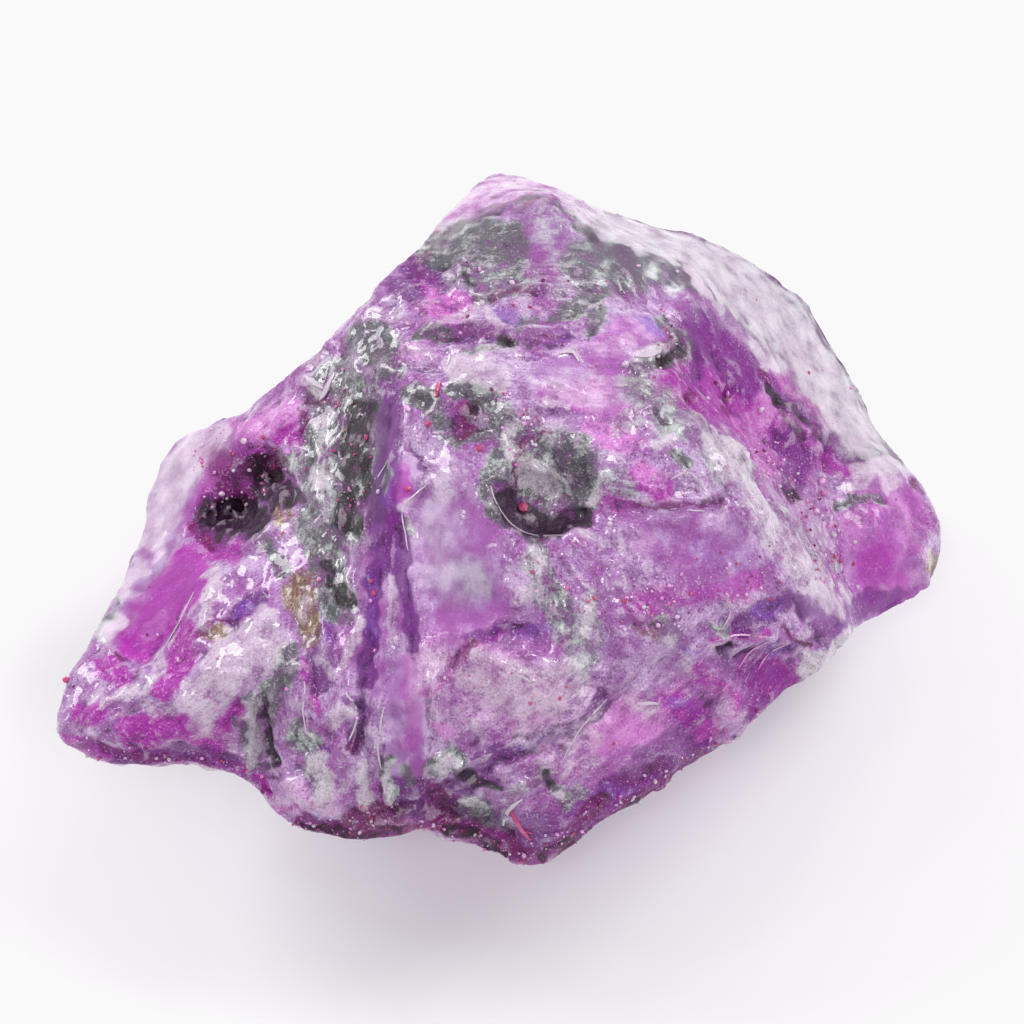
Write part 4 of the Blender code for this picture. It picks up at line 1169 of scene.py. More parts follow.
def shape_stone(mesh, sizes):
    """Break the surface up, and keep the colour zones on it."""
    noise.seed_set(NOISE_SEED)
    links = read_links(mesh)
    points = soften(mesh, links)
    normals = read_normals(mesh)
    facing = facing_eye(points, normals)
    near = blend_step(facing, *NEAR_FACING)
    spots = seen_at(points)
    wobbly = spots + sum(wander(points, *wobble) for wobble in ZONE_WOBBLES)
    weights = grain_weights(wobbly, near)
    calm = painted(wobbly, CALM) * near

    height = surface_height(points, links, weights, calm) * sizes.chips
    height *= RIM_RELIEF + (1.0 - RIM_RELIEF) * blend_step(np.abs(facing), *RELIEF_FACING)
    mean, swing = RIDGE_PRESENCE
    presence = mean + swing * noise_at(points, *RIDGE_PATCHES, 2)
    drawn = spots + wander(points, *RIDGE_WOBBLE)
    ridges = ridge_height(drawn, np.clip(presence, *RIDGE_LIMITS))
    zones = {name: painted(wobbly, strokes) for name, strokes in ZONES.items()}
    ridges += sum(rise * zones[name] for name, rise in ZONE_RISES.items())
    height += ridges * sizes.relief * blend_step(facing, *RIDGE_FACING)
    broken = points + normals * (height * MM)[:, None]
    broken[:, 2] = np.maximum(broken[:, 2], 0.0)
    write_points(mesh, broken)

    write_crest(mesh, height, links)
    for name, (size, seed, octaves) in CLOUDS.items():
        write_mask(mesh, name, 0.5 + CLOUD_SWING * noise_at(points, size, seed, octaves))
    write_mask(mesh, "calm", calm)
    write_grain(mesh, weights)
    for number, (name, drawn_zone) in enumerate(zones.items()):
        wild_zone = far_zone(points, FAR_SEED + number, FAR_SHARES[name])
        write_mask(mesh, name, drawn_zone * near + wild_zone * (1.0 - near))


def tone(red, green, blue):
    """A linear colour from the eight-bit numbers that a colour picker shows."""
    shares = [channel / 255.0 for channel in (red, green, blue)]
    return tuple(((share + 0.055) / 1.055) ** 2.4 for share in shares)


def colour_property(label, description, default):
    """A colour that a user may change."""
    return FloatVectorProperty(
        name=label,
        description=description,
        default=default,
        subtype="COLOR",
        size=3,
        min=0.0,
        max=1.0,
    )


class StoneColours(bpy.types.PropertyGroup):
    """Colours of the stone's zones."""

    lilac: colour_property("Lilac", "Body colour of the stone", tone(170, 118, 182))
    lavender: colour_property("Lavender", "Lighter clouds in the body", tone(194, 160, 204))
    orchid: colour_property("Orchid", "Warmer clouds in the body", tone(166, 92, 172))
    # Plum is also the painted shade in the creases and in the strokes named shade.
    plum: colour_property("Plum", "Deep purple seams", tone(104, 22, 122))
    # Magenta is also a painted glow where light would shine through thin crests and edges.
    magenta: colour_property("Magenta", "Saturated valleys", tone(170, 16, 164))
    pink: colour_property("Pink", "Bright windows", tone(222, 140, 216))
    maroon: colour_property("Maroon", "Dark red seams", tone(114, 10, 90))
    violet: colour_property("Violet", "Blue violet sparks", tone(122, 58, 182))
    grey: colour_property("Grey", "Grey green veins", tone(76, 90, 82))
    ash: colour_property("Ash", "Lighter flecks in the veins", tone(172, 186, 176))
    # Pale is partly frosted faces and partly painted reflection and painted highlight on the far slopes,
    # the left plate and the glint strokes.
    pale: colour_property("Pale", "Frosted faces", tone(212, 194, 212))
    coal: colour_property("Coal", "Nearly black spots", tone(34, 30, 34))
    rust: colour_property("Rust", "Ochre stains", tone(126, 100, 42))
    crumb: colour_property("Crumb", "Red crumbs", tone(186, 62, 110))
    sand: colour_property("Sand", "Lighter flecks in the stains", tone(196, 184, 160))


class Wire:
    """A socket of a node tree, on which Python's operators add Math nodes."""

    def __init__(self, shader, socket):
        self.shader = shader
        self.socket = socket

    def _math(self, operation, first, second):
        settings = {"operation": operation}
        return self.shader.node("ShaderNodeMath", settings, {0: first, 1: second})

    def __add__(self, other):
        return self._math("ADD", self, other)

    def __radd__(self, other):
        return self._math("ADD", other, self)

    def __sub__(self, other):
        return self._math("SUBTRACT", self, other)

    def __rsub__(self, other):
        return self._math("SUBTRACT", other, self)

    def __mul__(self, other):
        return self._math("MULTIPLY", self, other)

    def __rmul__(self, other):
        return self._math("MULTIPLY", other, self)

    def step(self, low, high):
        """0 below low, 1 above high, and a smooth rise between them."""
        settings = {"interpolation_type": "SMOOTHSTEP"}
        return self.shader.node("ShaderNodeMapRange", settings, {0: self, 1: low, 2: high})


class Shader:
    """Builds one material's node tree."""

    def __init__(self, name):
        self.material = bpy.data.materials.new(name)
        self.material.use_nodes = True
        self.tree = self.material.node_tree
        self.tree.nodes.clear()
        self.place = self.node("ShaderNodeTexCoord", output="Object")

    def node(self, kind, settings=None, sockets=None, output=0):
        """Add a node: its settings first, then the values or links of its sockets."""
        made = self.tree.nodes.new(kind)
        for name, value in (settings or {}).items():
            setattr(made, name, value)
        for name, value in (sockets or {}).items():
            if isinstance(value, Wire):
                self.tree.links.new(value.socket, made.inputs[name])
            else:
                made.inputs[name].default_value = value
        return Wire(self, made.outputs[output]) if made.outputs else None

    def mask(self, name):
        """A number kept on the mesh's points."""
        return self.node("ShaderNodeAttribute", {"attribute_name": name}, output="Fac")

    def direction(self, name):
        """Three numbers kept on the mesh's faces."""
        return self.node("ShaderNodeAttribute", {"attribute_name": name}, output="Vector")

    def noise(self, size, detail, roughness, place=None):
        """Noise from 0 to 1 with waves of a size in millimetres."""
        sockets = {
            "Vector": place or self.place,
            "Scale": 1.0 / (size * MM),
            "Detail": detail,
            "Roughness": roughness,
        }
        return self.node("ShaderNodeTexNoise", sockets=sockets)

    def mix(self, factor, first, second, blend_type="MIX"):
        """A colour between two, each of which is a wire or a plain colour."""
        settings = {"data_type": "RGBA", "blend_type": blend_type}
        sockets = {0: factor, 6: opaque(first), 7: opaque(second)}
        return self.node("ShaderNodeMix", settings, sockets, 2)

    def finished(self, sockets, settings=None):
        """The material, with its one finish."""
        finish = self.node("ShaderNodeBsdfPrincipled", settings, sockets)
        self.node("ShaderNodeOutputMaterial", sockets={"Surface": finish})
        return self.material


def opaque(colour):
    """A plain colour with full alpha, as a socket wants it. A wire stays as it is."""
    return colour if isinstance(colour, Wire) else (*colour, 1.0)


def swing(wire, share):
    """How far a number from 0 to 1 is from its middle, times a share."""
    return (wire - 0.5) * share


# Noise of the finish: wave size in millimetres, detail, roughness
MOTTLE = (0.32, 4.0, 0.62)
FLOW = (0.2, 3.0, 0.6)
GRIT = (0.09, 2.0, 0.65)

# Where each change of colour starts and where it is whole
LAVENDER_EDGES = (-0.05, 0.5)
ORCHID_EDGES = (-0.05, 0.45)
ASH_EDGES = (-0.05, 0.6)
SAND_EDGES = (-0.05, 0.4)
CREST_HIGHLIGHT_EDGES = (0.6, 0.9)
CREASE_SHADE_EDGES = (0.02, 0.3)
GLINT_EDGES = (0.58, 0.72)
PORE_EDGES = (0.56, 0.72)

# How fully each change of colour shows
CREST_HIGHLIGHT_SHARE = 0.32
CREASE_SHADE_SHARE = 0.5
GLINT_SHARE = 0.5
PORE_SHARE = 0.5
# Extra pale in waxy places, where pale is partly frost and partly painted reflection
CALM_FROST_AND_REFLECTION = 0.15
PALE_RELIEF = 0.3

# The colour zones in the order in which they cover each other: how fully each one does, and
# where its edge starts and is whole
ZONE_COVER = {
    "magenta": (0.9, 0.12, 0.9),
    "pink": (0.7, 0.12, 0.9),
    "plum": (0.8, 0.12, 0.9),
    "violet": (0.6, 0.12, 0.9),
    "rust": (0.85, 0.12, 0.9),
    "grey": (0.85, 0.06, 1.0),
    "pale": (0.75, 0.2, 1.1),
    "maroon": (0.85, 0.12, 0.9),
    "coal": (0.9, 0.12, 0.9),
}

# The finish's gloss, and the light under its surface
STONE_ROUGHNESS = 0.28
STONE_COAT = 0.85
COAT_ROUGHNESS = 0.07
STONE_IOR = 1.52
STONE_SPECULAR = 0.3
GLOW = 0.22
GLOW_RADIUS = (1.0, 0.55, 1.0)
GLOW_REACH = 0.5 * MM

# Height of the finish's finest relief, in millimetres
FLOW_RELIEF = 0.11
GRIT_RELIEF = 0.07


def along_the_grain(shader):
    """Places that are turned and stretched along each face's grain."""
    return shader.node(
        "ShaderNodeMapping",
        {"vector_type": "TEXTURE"},
        {
            "Vector": shader.place,
            "Rotation": shader.direction("turn"),
            "Scale": shader.direction("stretch"),
        },
    )


def stone_material(colours):
    """The stone's finish: clouded lilac with magenta, grey, pale and ochre zones."""
    shader = Shader("stone")
    masks = {name: shader.mask(name) for name in (*ZONE_COVER, "swirl", "crest", "calm")}
    calm = masks["calm"]
    lively = 1.0 - calm * CALMING
    swirl = masks["swirl"]
    mottle = shader.noise(*MOTTLE)
    grit = shader.noise(*GRIT)
    streaky = shader.noise(*FLOW, place=along_the_grain(shader))
    flow = swing(streaky, 1.0) * shader.mask("steady") + 0.5
    grain = (swing(mottle, 1.1) + swing(flow, 0.9) + swing(grit, 0.3)) * lively

    body = swing(shader.mask("cloud"), 0.8) + swing(swirl, 0.8) + grain
    colour = shader.mix(body.step(*LAVENDER_EDGES), colours.lilac, colours.lavender)
    colour = shader.mix((0.0 - body).step(*ORCHID_EDGES), colour, colours.orchid)

    ragged = swing(swirl, 0.8) * lively + grain
    light = grain * 1.2 + swing(swirl, 0.8)
    haze = (0.8 - masks["grey"]) * 0.7 + masks["pale"] * 0.9
    paints = {name: getattr(colours, name) for name in ZONE_COVER}
    paints["grey"] = shader.mix((light + haze).step(*ASH_EDGES), colours.grey, colours.ash)
    paints["rust"] = shader.mix(light.step(*SAND_EDGES), colours.rust, colours.sand)
    for name, (cover, low, high) in ZONE_COVER.items():
        holds = (masks[name] + ragged * (0.2 + masks[name] * 0.7)).step(low, high)
        if name == "pale":
            cover = cover + calm * CALM_FROST_AND_REFLECTION
        colour = shader.mix(holds * cover, colour, paints[name])

    edge = masks["crest"]
    # Painted highlight: crests, where the surface stands above its surroundings, are lightened with pale.
    crest_highlight = (edge + swing(grit, 0.3)).step(*CREST_HIGHLIGHT_EDGES) * CREST_HIGHLIGHT_SHARE
    # Painted shade: creases, where the surface dips below its surroundings, are darkened with plum.
    crease_shade = 1.0 - (edge + swing(grit, 0.2)).step(*CREASE_SHADE_EDGES)
    glints = (grit + swing(flow, 0.4)).step(*GLINT_EDGES) * lively * (1.0 - masks["coal"])
    pores = (1.0 - grit - swing(mottle, 0.5)).step(*PORE_EDGES) * lively
    # The pale mask, partly frost and partly painted reflection, lessens the crease shade and the pores.
    frost_and_reflection = masks["pale"] * PALE_RELIEF
    colour = shader.mix(crest_highlight, colour, colours.pale)
    colour = shader.mix(crease_shade * (CREASE_SHADE_SHARE - frost_and_reflection), colour, colours.plum, "MULTIPLY")
    colour = shader.mix(glints * GLINT_SHARE, colour, colours.pale)
    colour = shader.mix(pores * (PORE_SHARE - frost_and_reflection), colour, colours.maroon)
    value = 1.0 + (swing(flow, 0.7) + swing(grit, 0.9)) * lively + swing(swirl, 0.25)
    colour = shader.node(
        "ShaderNodeVectorMath", {"operation": "SCALE"}, {"Vector": colour, "Scale": value}
    )

    roughness = STONE_ROUGHNESS + swing(mottle, 0.3) + masks["pale"] * 0.1
    roughness = roughness + calm * 0.18 + masks["maroon"] * 0.3
    rich = (masks["magenta"] + masks["plum"]) * 0.5
    dull = masks["maroon"] + masks["coal"] * 0.5 + calm * 0.6
    coat = STONE_COAT + swing(swirl, 0.8) - rich - dull
    relief = (flow * FLOW_RELIEF + grit * GRIT_RELIEF) * lively
    bump = shader.node(
        "ShaderNodeBump", sockets={"Strength": 1.0, "Distance": MM, "Height": relief}
    )
    sockets = {
        "Base Color": colour,
        "Roughness": roughness,
        "IOR": STONE_IOR,
        "Specular IOR Level": STONE_SPECULAR,
        "Normal": bump,
        "Subsurface Weight": GLOW,
        "Subsurface Radius": GLOW_RADIUS,
        "Subsurface Scale": GLOW_REACH,
        "Coat Weight": coat.step(0.0, 1.0),
        "Coat Roughness": COAT_ROUGHNESS,
    }
    return shader.finished(sockets, {"subsurface_method": "RANDOM_WALK"})


class CrumbSizes(bpy.types.PropertyGroup):
    """Sizes of the loose grains that stick to the stone."""

    smallest: length_property("Smallest", "Radius of the smallest crumb", 0.024 * MM)
    largest: length_property("Largest", "Radius of the largest crumb", 0.1 * MM)
    count: IntProperty(
        name="Count",
        description="How many crumbs are scattered over the stone",
        default=1300,
        min=0,
    )


class StageSizes(bpy.types.PropertyGroup):
    """The floor and the light."""

    floor_radius: length_property("Floor radius", "Radius of the pale floor", 0.6)
    floor_colour: colour_property("Floor", "Colour of the floor", tone(246, 245, 247))
    sky: share_property("Sky", "Strength of the even light from all round", 0.4)
    lamps: share_property("Lamps", "Share of the lamps' power", 1.0)
    white: share_property("White", "The brightest linear value that is shown", 0.947, most=1.0)


def new_piece(name, mesh, material, smooth=True):
    """An object of the stone, which rides with it and takes its finish."""
    mesh.materials.clear()
    mesh.materials.append(material)
    if smooth:
        mesh.shade_smooth()
    piece = bpy.data.objects.new(name, mesh)
    bpy.context.scene.collection.objects.link(piece)
    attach(piece, BODY)
    return piece


# Places where crumbs lie thick: half width in pixels, share of the crumbs, pixels
CRUMB_PLACES = {
    "valley floor": (16, 1.0, (764, 450), (802, 494), (826, 530), (828, 570)),
    "above the pit": (24, 0.8, (500, 410), (530, 425), (505, 460)),
    "left vein": (22, 0.7, (350, 400), (355, 500), (350, 580)),
    "cleft": (16, 0.8, (300, 455), (315, 400), (345, 380)),
    "left hollow": (26, 0.8, (215, 450), (225, 495), (275, 465)),
    "left tip": (18, 0.6, (66, 730), (70, 700), (80, 670)),
    "left foot": (12, 0.8, (80, 750), (150, 758), (240, 768)),
    "low lobe edge": (12, 1.0, (262, 786), (280, 820), (330, 832)),
    "low edge": (14, 1.0, (350, 826), (400, 815), (460, 832), (520, 858)),
    "tip edge": (16, 0.7, (520, 858), (600, 812), (700, 752), (760, 705)),
    "plateau grains": (30, 1.0, (600, 590), (650, 606), (700, 590), (760, 575)),
    "brow": (40, 0.35, (440, 300), (520, 290), (600, 290)),
    "spark side": (12, 0.9, (664, 318), (676, 336), (640, 384)),
    "skyline": (8, 0.25, (560, 210), (610, 248), (690, 280)),
    "middle grains": (24, 0.6, (450, 660), (500, 690), (540, 690)),
    "drip": (18, 0.6, (530, 560), (520, 600), (560, 600)),
}

# Crumbs that are seen singly: pixel, radius in pixels, tint from pale 0 to red 1
SINGLE_CRUMBS = {
    "pit": ((523, 507), 7, 0.8),
    "orange": ((728, 393), 4, 0.4),
    "valley": ((745, 457), 6, 0.0),
    "second valley": ((762, 411), 4, 0.0),
    "third valley": ((706, 398), 3, 0.0),
    "fourth valley": ((820, 480), 5, 0.3),
    "fifth valley": ((822, 493), 4, 0.6),
    "sixth valley": ((830, 520), 4, 0.1),
    "seventh valley": ((832, 536), 5, 0.0),
    "eighth valley": ((815, 512), 4, 0.2),
    "brow": ((483, 304), 5, 0.0),
    "right brow": ((625, 367), 6, 0.1),
    "high": ((513, 283), 4, 0.1),
    "spark": ((668, 318), 4, 0.2),
    "second spark": ((672, 336), 4, 0.2),
    "vein": ((368, 438), 4, 0.8),
    "cleft": ((353, 391), 3, 0.1),
    "column": ((407, 491), 4, 0.8),
    "panel": ((437, 390), 4, 0.8),
    "seam": ((408, 409), 5, 0.3),
    "second seam": ((428, 424), 4, 0.7),
    "pit side": ((480, 447), 4, 0.8),
    "pit edge": ((553, 514), 3, 0.0),
    "second pit edge": ((609, 523), 3, 0.0),
    "left pit": ((228, 507), 3, 0.0),
    "second left pit": ((264, 477), 3, 0.0),
    "left knob": ((222, 494), 4, 0.1),
    "flute": ((374, 594), 4, 0.7),
    "second flute": ((371, 600), 3, 0.5),
    "lobe": ((854, 544), 3, 0.0),
    "second lobe": ((857, 586), 3, 0.0),
    "third lobe": ((852, 564), 3, 0.7),
    "left tip": ((67, 680), 4, 0.8),
    "window": ((288, 452), 5, 0.4),
    "second window": ((245, 442), 4, 0.1),
}

# Splinters that lie on the stone, and pale lines that are painted highlights along edges: width in
# millimetres, tint, pixels
SPLINTERS_AND_GLINT_LINES = {
    "pink shred": (0.09, 0.7, (511, 811), (517, 822), (523, 831), (531, 841)),
    "pink shred fork": (0.06, 0.75, (520, 828), (527, 830), (532, 834)),
    "white shred": (0.08, 0.05, (522, 800), (512, 806), (506, 814), (502, 825)),
    "cleft blade": (0.11, 0.0, (305, 377), (314, 382), (324, 388)),
    "second cleft blade": (0.1, 0.05, (322, 400), (328, 388), (334, 374)),
    "red chip": (0.12, 0.8, (440, 384), (436, 396)),
    "white flake": (0.07, 0.0, (560, 354), (574, 349), (579, 360)),
    "hollow flake": (0.12, 0.0, (636, 357), (648, 355), (660, 351)),
    # From here on, the pale lines laid along edges are painted highlights.
    "pit lip": (0.032, 0.0, (490, 485), (494, 500), (506, 520), (520, 532), (538, 536)),
    "pit lip right": (0.032, 0.0, (544, 535), (562, 536), (578, 535), (590, 530)),
    "drip line": (0.03, 0.0, (539, 537), (538, 550), (542, 560)),
    "lens edge": (0.03, 0.0, (392, 452), (383, 470), (372, 488)),
    "lens side": (0.03, 0.05, (430, 480), (420, 490), (402, 506)),
    "flute edge": (0.03, 0.1, (401, 512), (407, 550)),
    "left seam": (0.035, 0.0, (345, 692), (358, 707), (357, 722), (349, 741)),
    "second left seam": (0.035, 0.05, (305, 682), (303, 711), (307, 730)),
    "third left seam": (0.035, 0.05, (383, 707), (379, 745), (381, 770)),
    "low arc": (0.04, 0.0, (508, 674), (524, 676), (537, 690)),
    "long glint": (0.028, 0.05, (562, 760), (576, 735), (592, 715), (607, 700)),
    "low flake": (0.08, 0.1, (636, 704), (648, 701), (657, 702)),
    "shell rib": (0.035, 0.3, (716, 642), (738, 634), (768, 637)),
    "second shell rib": (0.032, 0.35, (738, 668), (750, 650), (770, 641)),
    "third shell rib": (0.032, 0.35, (757, 670), (768, 652), (792, 642)),
    "bubble": (0.03, 0.1, (725, 598), (733, 612), (723, 628)),
    "plateau edge": (0.03, 0.1, (672, 508), (692, 510), (706, 510)),
    "plateau arc": (0.03, 0.1, (672, 480), (688, 470), (704, 486), (711, 498)),
    "left slope line": (0.03, 0.1, (152, 664), (166, 645), (180, 622), (194, 592)),
}

# How crumbs are strewn: the seed, the share that lies anywhere, how rare large ones and red
# ones are, and how deep the strewn and the single ones sink, as shares of their size
CRUMB_SEED = 11
PLAIN_CRUMB_SHARE = 0.02
SIZE_RARITY = 2.5
TINT_RARITY = 1.2
STREWN_RISE = 0.3
SINGLE_RISE = 0.4
SINGLE_SIZE = 0.8

# How uneven a crumb's sides are, and how far its corners stray, as shares of its size
CRUMB_STRETCH = (0.65, 1.25)
CORNER_STRAY = 0.15

# Splinters: pixels between steps, rounds that ease the path, how thick and how high they are as
# shares of their half width, and how their ends taper
SPLINTER_STEP = 5.0
SPLINTER_EASING = 3
SPLINTER_THICKNESS = 0.6
SPLINTER_RISE = 0.7
SPLINTER_TAPER = 0.35

# The crumbs' finish: where it turns from pale to pink, red and maroon, by tint
PINK_EDGES = (0.0, 0.5)
RED_EDGES = (0.45, 0.75)
MAROON_EDGES = (0.84, 0.94)
CRUMB_GRIT = (0.12, 2.0, 0.7)
CRUMB_GLOW = 0.2
CRUMB_GLOW_RADIUS = (1.0, 0.6, 1.0)
CRUMB_GLOW_REACH = 0.2 * MM
CRUMB_COAT = 0.5


def dab(bm, place, size, random_numbers, tint):
    """Add one rough grain, of uneven sides and its own tint, at a place."""
    turn = Vector([random_numbers.uniform(-1.0, 1.0) for _ in range(3)])
    stretch = [size * random_numbers.uniform(*CRUMB_STRETCH) for _ in range(3)]
    shape = Matrix.Translation(place) @ turn.to_track_quat("Z", "Y").to_matrix().to_4x4()
    shape = shape @ Matrix.Diagonal((*stretch, 1.0))
    made = bmesh.ops.create_icosphere(bm, subdivisions=1, radius=1.0, matrix=shape)
    layer = bm.verts.layers.float["tint"]
    for vert in made["verts"]:
        vert[layer] = tint
        stray = [random_numbers.uniform(-CORNER_STRAY, CORNER_STRAY) for _ in range(3)]
        vert.co += Vector(stray) * size


class NearSide:
    """The stone's side that the eye sees, to put small things on by their pixels."""

    def __init__(self, mesh):
        points = read_points(mesh)
        normals = read_normals(mesh)
        seen = facing_eye(points, normals) > SEEN_FACING
        self.points = points[seen]
        self.normals = normals[seen]
        self.spots = seen_at(self.points)

    def at(self, pixel):
        """The surface's point and normal at a pixel."""
        away = np.linalg.norm(self.spots - np.array(pixel), axis=1)
        nearest = int(np.argmin(away))
        return Vector(self.points[nearest]), Vector(self.normals[nearest])


def crumb_material(colours):
    """The crumbs' finish: frosted pale grains and red ones, by their tint; it also colours the pale lines
    of painted highlight.
    """
    shader = Shader("crumbs")
    tint = shader.mask("tint")
    grit = shader.noise(*CRUMB_GRIT)
    colour = shader.mix(tint.step(*PINK_EDGES), colours.pale, colours.pink)
    colour = shader.mix((tint + swing(grit, 0.3)).step(*RED_EDGES), colour, colours.crumb)
    colour = shader.mix(tint.step(*MAROON_EDGES), colour, colours.maroon)
    sockets = {
        "Base Color": colour,
        "Roughness": 0.25 + grit * 0.3,
        "IOR": STONE_IOR,
        "Subsurface Weight": CRUMB_GLOW,
        "Subsurface Radius": CRUMB_GLOW_RADIUS,
        "Subsurface Scale": CRUMB_GLOW_REACH,
        "Coat Weight": CRUMB_COAT,
    }
    return shader.finished(sockets)


def scatter_crumbs(bm, near_side, sizes, random_numbers):
    """Strew crumbs where they lie thick, and a few everywhere."""
    chance = painted(near_side.spots, CRUMB_PLACES) ** 2 + PLAIN_CRUMB_SHARE
    order = np.cumsum(chance)
    for _ in range(sizes.count):
        pick = int(np.searchsorted(order, random_numbers.random() * order[-1]))
        pick = min(pick, len(order) - 1)
        share = random_numbers.random() ** SIZE_RARITY
        size = sizes.smallest + share * (sizes.largest - sizes.smallest)
        tint = random_numbers.random() ** TINT_RARITY
        normal = Vector(near_side.normals[pick])
        place = Vector(near_side.points[pick]) + normal * size * STREWN_RISE
        dab(bm, place, size, random_numbers, tint)


def in_steps(pixels):
    """The pixels of a path with more between them, so that it follows the surface."""
    steps = [pixels[0]]
    for start, end in zip(pixels, pixels[1:]):
        count = max(1, round(math.dist(start, end) / SPLINTER_STEP))
        for number in range(1, count + 1):
            share = number / count
            steps.append([a + share * (b - a) for a, b in zip(start, end)])
    return steps


def lay_splinter(bm, near_side, half_width, tint, pixels):
    """A thin tapering sliver that follows the surface through several pixels; the pale ones along edges
    are painted highlights.
    """
    path = [near_side.at(pixel) for pixel in in_steps(pixels)]
    places = [place for place, _ in path]
    for _ in range(SPLINTER_EASING):
        inner = zip(places, places[1:], places[2:])
        places = [places[0], *((a + 2.0 * b + c) / 4.0 for a, b, c in inner), places[-1]]
    last = len(places) - 1
    layer = bm.verts.layers.float["tint"]
    rows = []
    for number, (place, (_, normal)) in enumerate(zip(places, path)):
        run = places[min(number + 1, last)] - places[max(number - 1, 0)]
        aside = normal.cross(run).normalized()
        steps_in = 1 + min(number, last - number)
        reach = half_width * min(1.0, SPLINTER_TAPER * steps_in)
        middle = place + normal * half_width * SPLINTER_RISE
        row = [bm.verts.new(middle + aside * side * reach) for side in (-1.0, 1.0)]
        for vert in row:
            vert[layer] = tint
        rows.append(row)
    faces = []
    for first, second in zip(rows, rows[1:]):
        faces.append(bm.faces.new((first[0], first[1], second[1], second[0])))
    bmesh.ops.recalc_face_normals(bm, faces=faces)
    bmesh.ops.solidify(bm, geom=faces, thickness=half_width * SPLINTER_THICKNESS)


class STONE_OT_crumbs(bpy.types.Operator):
    """Strew the crumbs, and lay the splinters and the pale lines of painted highlight"""

    bl_idname = "stone.crumbs"
    bl_label = "Crumbs"
    bl_options = {"REGISTER", "UNDO"}

    def execute(self, context):
        scene = context.scene
        near_side = NearSide(bpy.data.objects["stone_surface"].data)
        random_numbers = random.Random(CRUMB_SEED)
        bm = bmesh.new()
        bm.verts.layers.float.new("tint")
        scatter_crumbs(bm, near_side, scene.crumb_sizes, random_numbers)
        for pixel, radius, tint in SINGLE_CRUMBS.values():
            place, normal = near_side.at(pixel)
            size = SINGLE_SIZE * radius / PIXELS_PER_MM * MM
            dab(bm, place + normal * size * SINGLE_RISE, size, random_numbers, tint)
        for half_width, tint, *pixels in SPLINTERS_AND_GLINT_LINES.values():
            lay_splinter(bm, near_side, half_width * MM, tint, pixels)
        mesh = bpy.data.meshes.new("crumbs")
        bm.to_mesh(mesh)
        bm.free()
        # The crumbs' object also holds the pale lines of painted highlight.
        new_piece("stone_crumbs", mesh, crumb_material(scene.stone_colours), smooth=False)
        return {"FINISHED"}


class STONE_OT_body(bpy.types.Operator):
    """Make the stone's broken surface and its finish"""

    bl_idname = "stone.body"
    bl_label = "Stone"
    bl_options = {"REGISTER", "UNDO"}

    def execute(self, context):
        scene = context.scene
        mesh = stone_base(scene.stone_sizes)
        shape_stone(mesh, scene.stone_sizes)
        piece = new_piece("stone_surface", mesh, stone_material(scene.stone_colours))
        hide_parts(NODE)
        return {"FINISHED"}


def floor_material(colour):
    """A plain matt floor."""
    sockets = {"Base Color": opaque(colour), "Roughness": 0.9, "Specular IOR Level": 0.1}
    return Shader("floor").finished(sockets)


def add_lamp(name, azimuth, elevation, size, power):
    """A soft square lamp that faces the stone, its azimuth clockwise from straight behind."""
    turn = math.radians(azimuth)
    rise = math.radians(elevation)
    level = Vector((math.sin(turn), math.cos(turn), 0.0)) * math.cos(rise)
    place = (level + Vector((0.0, 0.0, math.sin(rise)))) * LAMP_DISTANCE
    lamp = bpy.data.lights.new(name, "AREA")
    lamp.shape = "SQUARE"
    lamp.size = size
    lamp.energy = power
    holder = bpy.data.objects.new(name, lamp)
    holder.location = place
    holder.rotation_euler = (LAMP_AIM - place).to_track_quat("-Z", "Y").to_euler()
    bpy.context.scene.collection.objects.link(holder)


# The place of the curve that holds for red, green and blue alike
ALL_CHANNELS = 3


def cap_white(view, white):
    """Show no light as brighter than a linear value, and leave the rest alone."""
    view.view_transform = "Standard"
    view.use_curve_mapping = True
    mapping = view.curve_mapping
    mapping.extend = "HORIZONTAL"
    curve = mapping.curves[ALL_CHANNELS]
    curve.points[1].location = (1.0, white)
    curve.points.new(white, white)
    for point in curve.points:
        point.handle_type = "VECTOR"
    mapping.update()


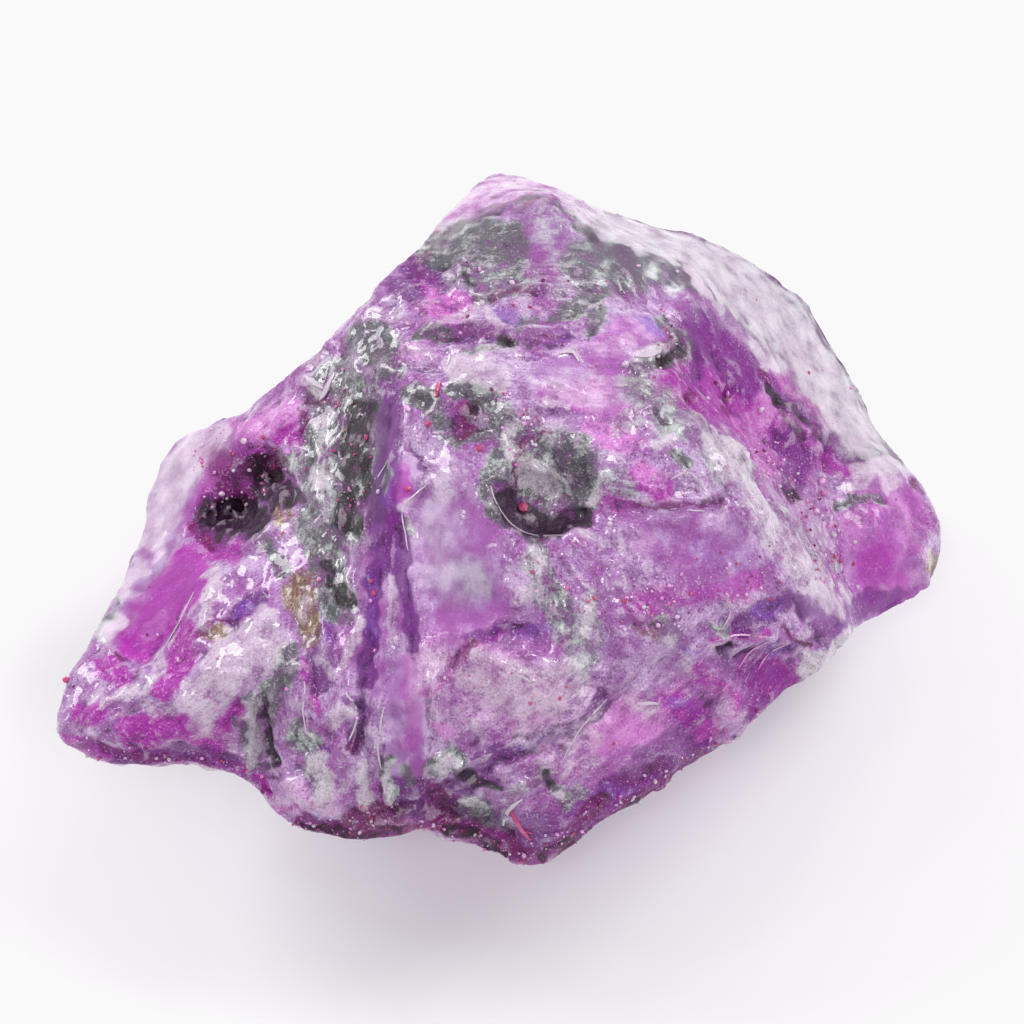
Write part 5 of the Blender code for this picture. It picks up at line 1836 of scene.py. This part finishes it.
class STONE_OT_stage(bpy.types.Operator):
    """Make the pale floor, the soft light and the camera"""

    bl_idname = "stone.stage"
    bl_label = "Stage"
    bl_options = {"REGISTER", "UNDO"}

    def execute(self, context):
        stage = context.scene.stone_stage
        bm = bmesh.new()
        bmesh.ops.create_circle(
            bm, cap_ends=True, segments=FLOOR_SIDES, radius=stage.floor_radius
        )
        mesh = bpy.data.meshes.new("floor")
        bm.to_mesh(mesh)
        bm.free()
        mesh.materials.append(floor_material(stage.floor_colour))
        floor = bpy.data.objects.new("floor", mesh)
        context.scene.collection.objects.link(floor)

        world = bpy.data.worlds.new("studio")
        world.use_nodes = True
        sky = world.node_tree.nodes["Background"]
        sky.inputs["Color"].default_value = WHITE_LIGHT
        sky.inputs["Strength"].default_value = stage.sky
        context.scene.world = world

        for name, (azimuth, elevation, size, power) in LAMPS.items():
            add_lamp(name, azimuth, elevation, size, power * stage.lamps)

        lens = bpy.data.cameras.new("camera")
        lens.lens = LENS
        lens.sensor_width = SENSOR
        lens.clip_start = 1.0 * MM
        camera = bpy.data.objects.new("camera", lens)
        camera.location = (LOOKED_AT + EYE_DISTANCE * TO_EYE) * MM
        camera.rotation_euler = (math.pi / 2.0 - VIEW_TILT, 0.0, 0.0)
        context.scene.collection.objects.link(camera)
        context.scene.camera = camera
        cap_white(context.scene.view_settings, stage.white)
        return {"FINISHED"}


class STONE_PT_panel(bpy.types.Panel):
    """Lists the stone's pieces and their sizes"""

    bl_idname = "STONE_PT_panel"
    bl_label = "Rough sapphire"
    bl_space_type = "VIEW_3D"
    bl_region_type = "UI"
    bl_category = "Stone"

    def draw(self, context):
        scene = context.scene
        for group in (scene.stone_sizes, scene.stone_colours, scene.crumb_sizes, scene.stone_stage):
            box = self.layout.box()
            for name in group.bl_rna.properties.keys():
                if name not in ("rna_type", "name"):
                    box.prop(group, name)
        for operator in OPERATORS:
            self.layout.operator(operator.bl_idname)


GROUPS = {
    "stone_sizes": StoneSizes,
    "stone_colours": StoneColours,
    "crumb_sizes": CrumbSizes,
    "stone_stage": StageSizes,
}
OPERATORS = (STONE_OT_stage, STONE_OT_body, STONE_OT_crumbs)


def register():
    """Make the classes known, and give the scene its settings."""
    for made in (*GROUPS.values(), *OPERATORS, STONE_PT_panel):
        bpy.utils.register_class(made)
    for name, group in GROUPS.items():
        setattr(bpy.types.Scene, name, PointerProperty(type=group))


def unregister():
    """Take the settings and the classes away again."""
    for name in GROUPS:
        delattr(bpy.types.Scene, name)
    for made in reversed((*GROUPS.values(), *OPERATORS, STONE_PT_panel)):
        bpy.utils.unregister_class(made)


def corners(box):
    """A box as plain lists of numbers."""
    return [list(corner) for corner in box]


def main():
    """Make every piece in turn."""
    register()
    bpy.ops.stone.stage()
    bpy.ops.stone.body()
    bpy.ops.stone.crumbs()


if __name__ == "__main__":
    main()
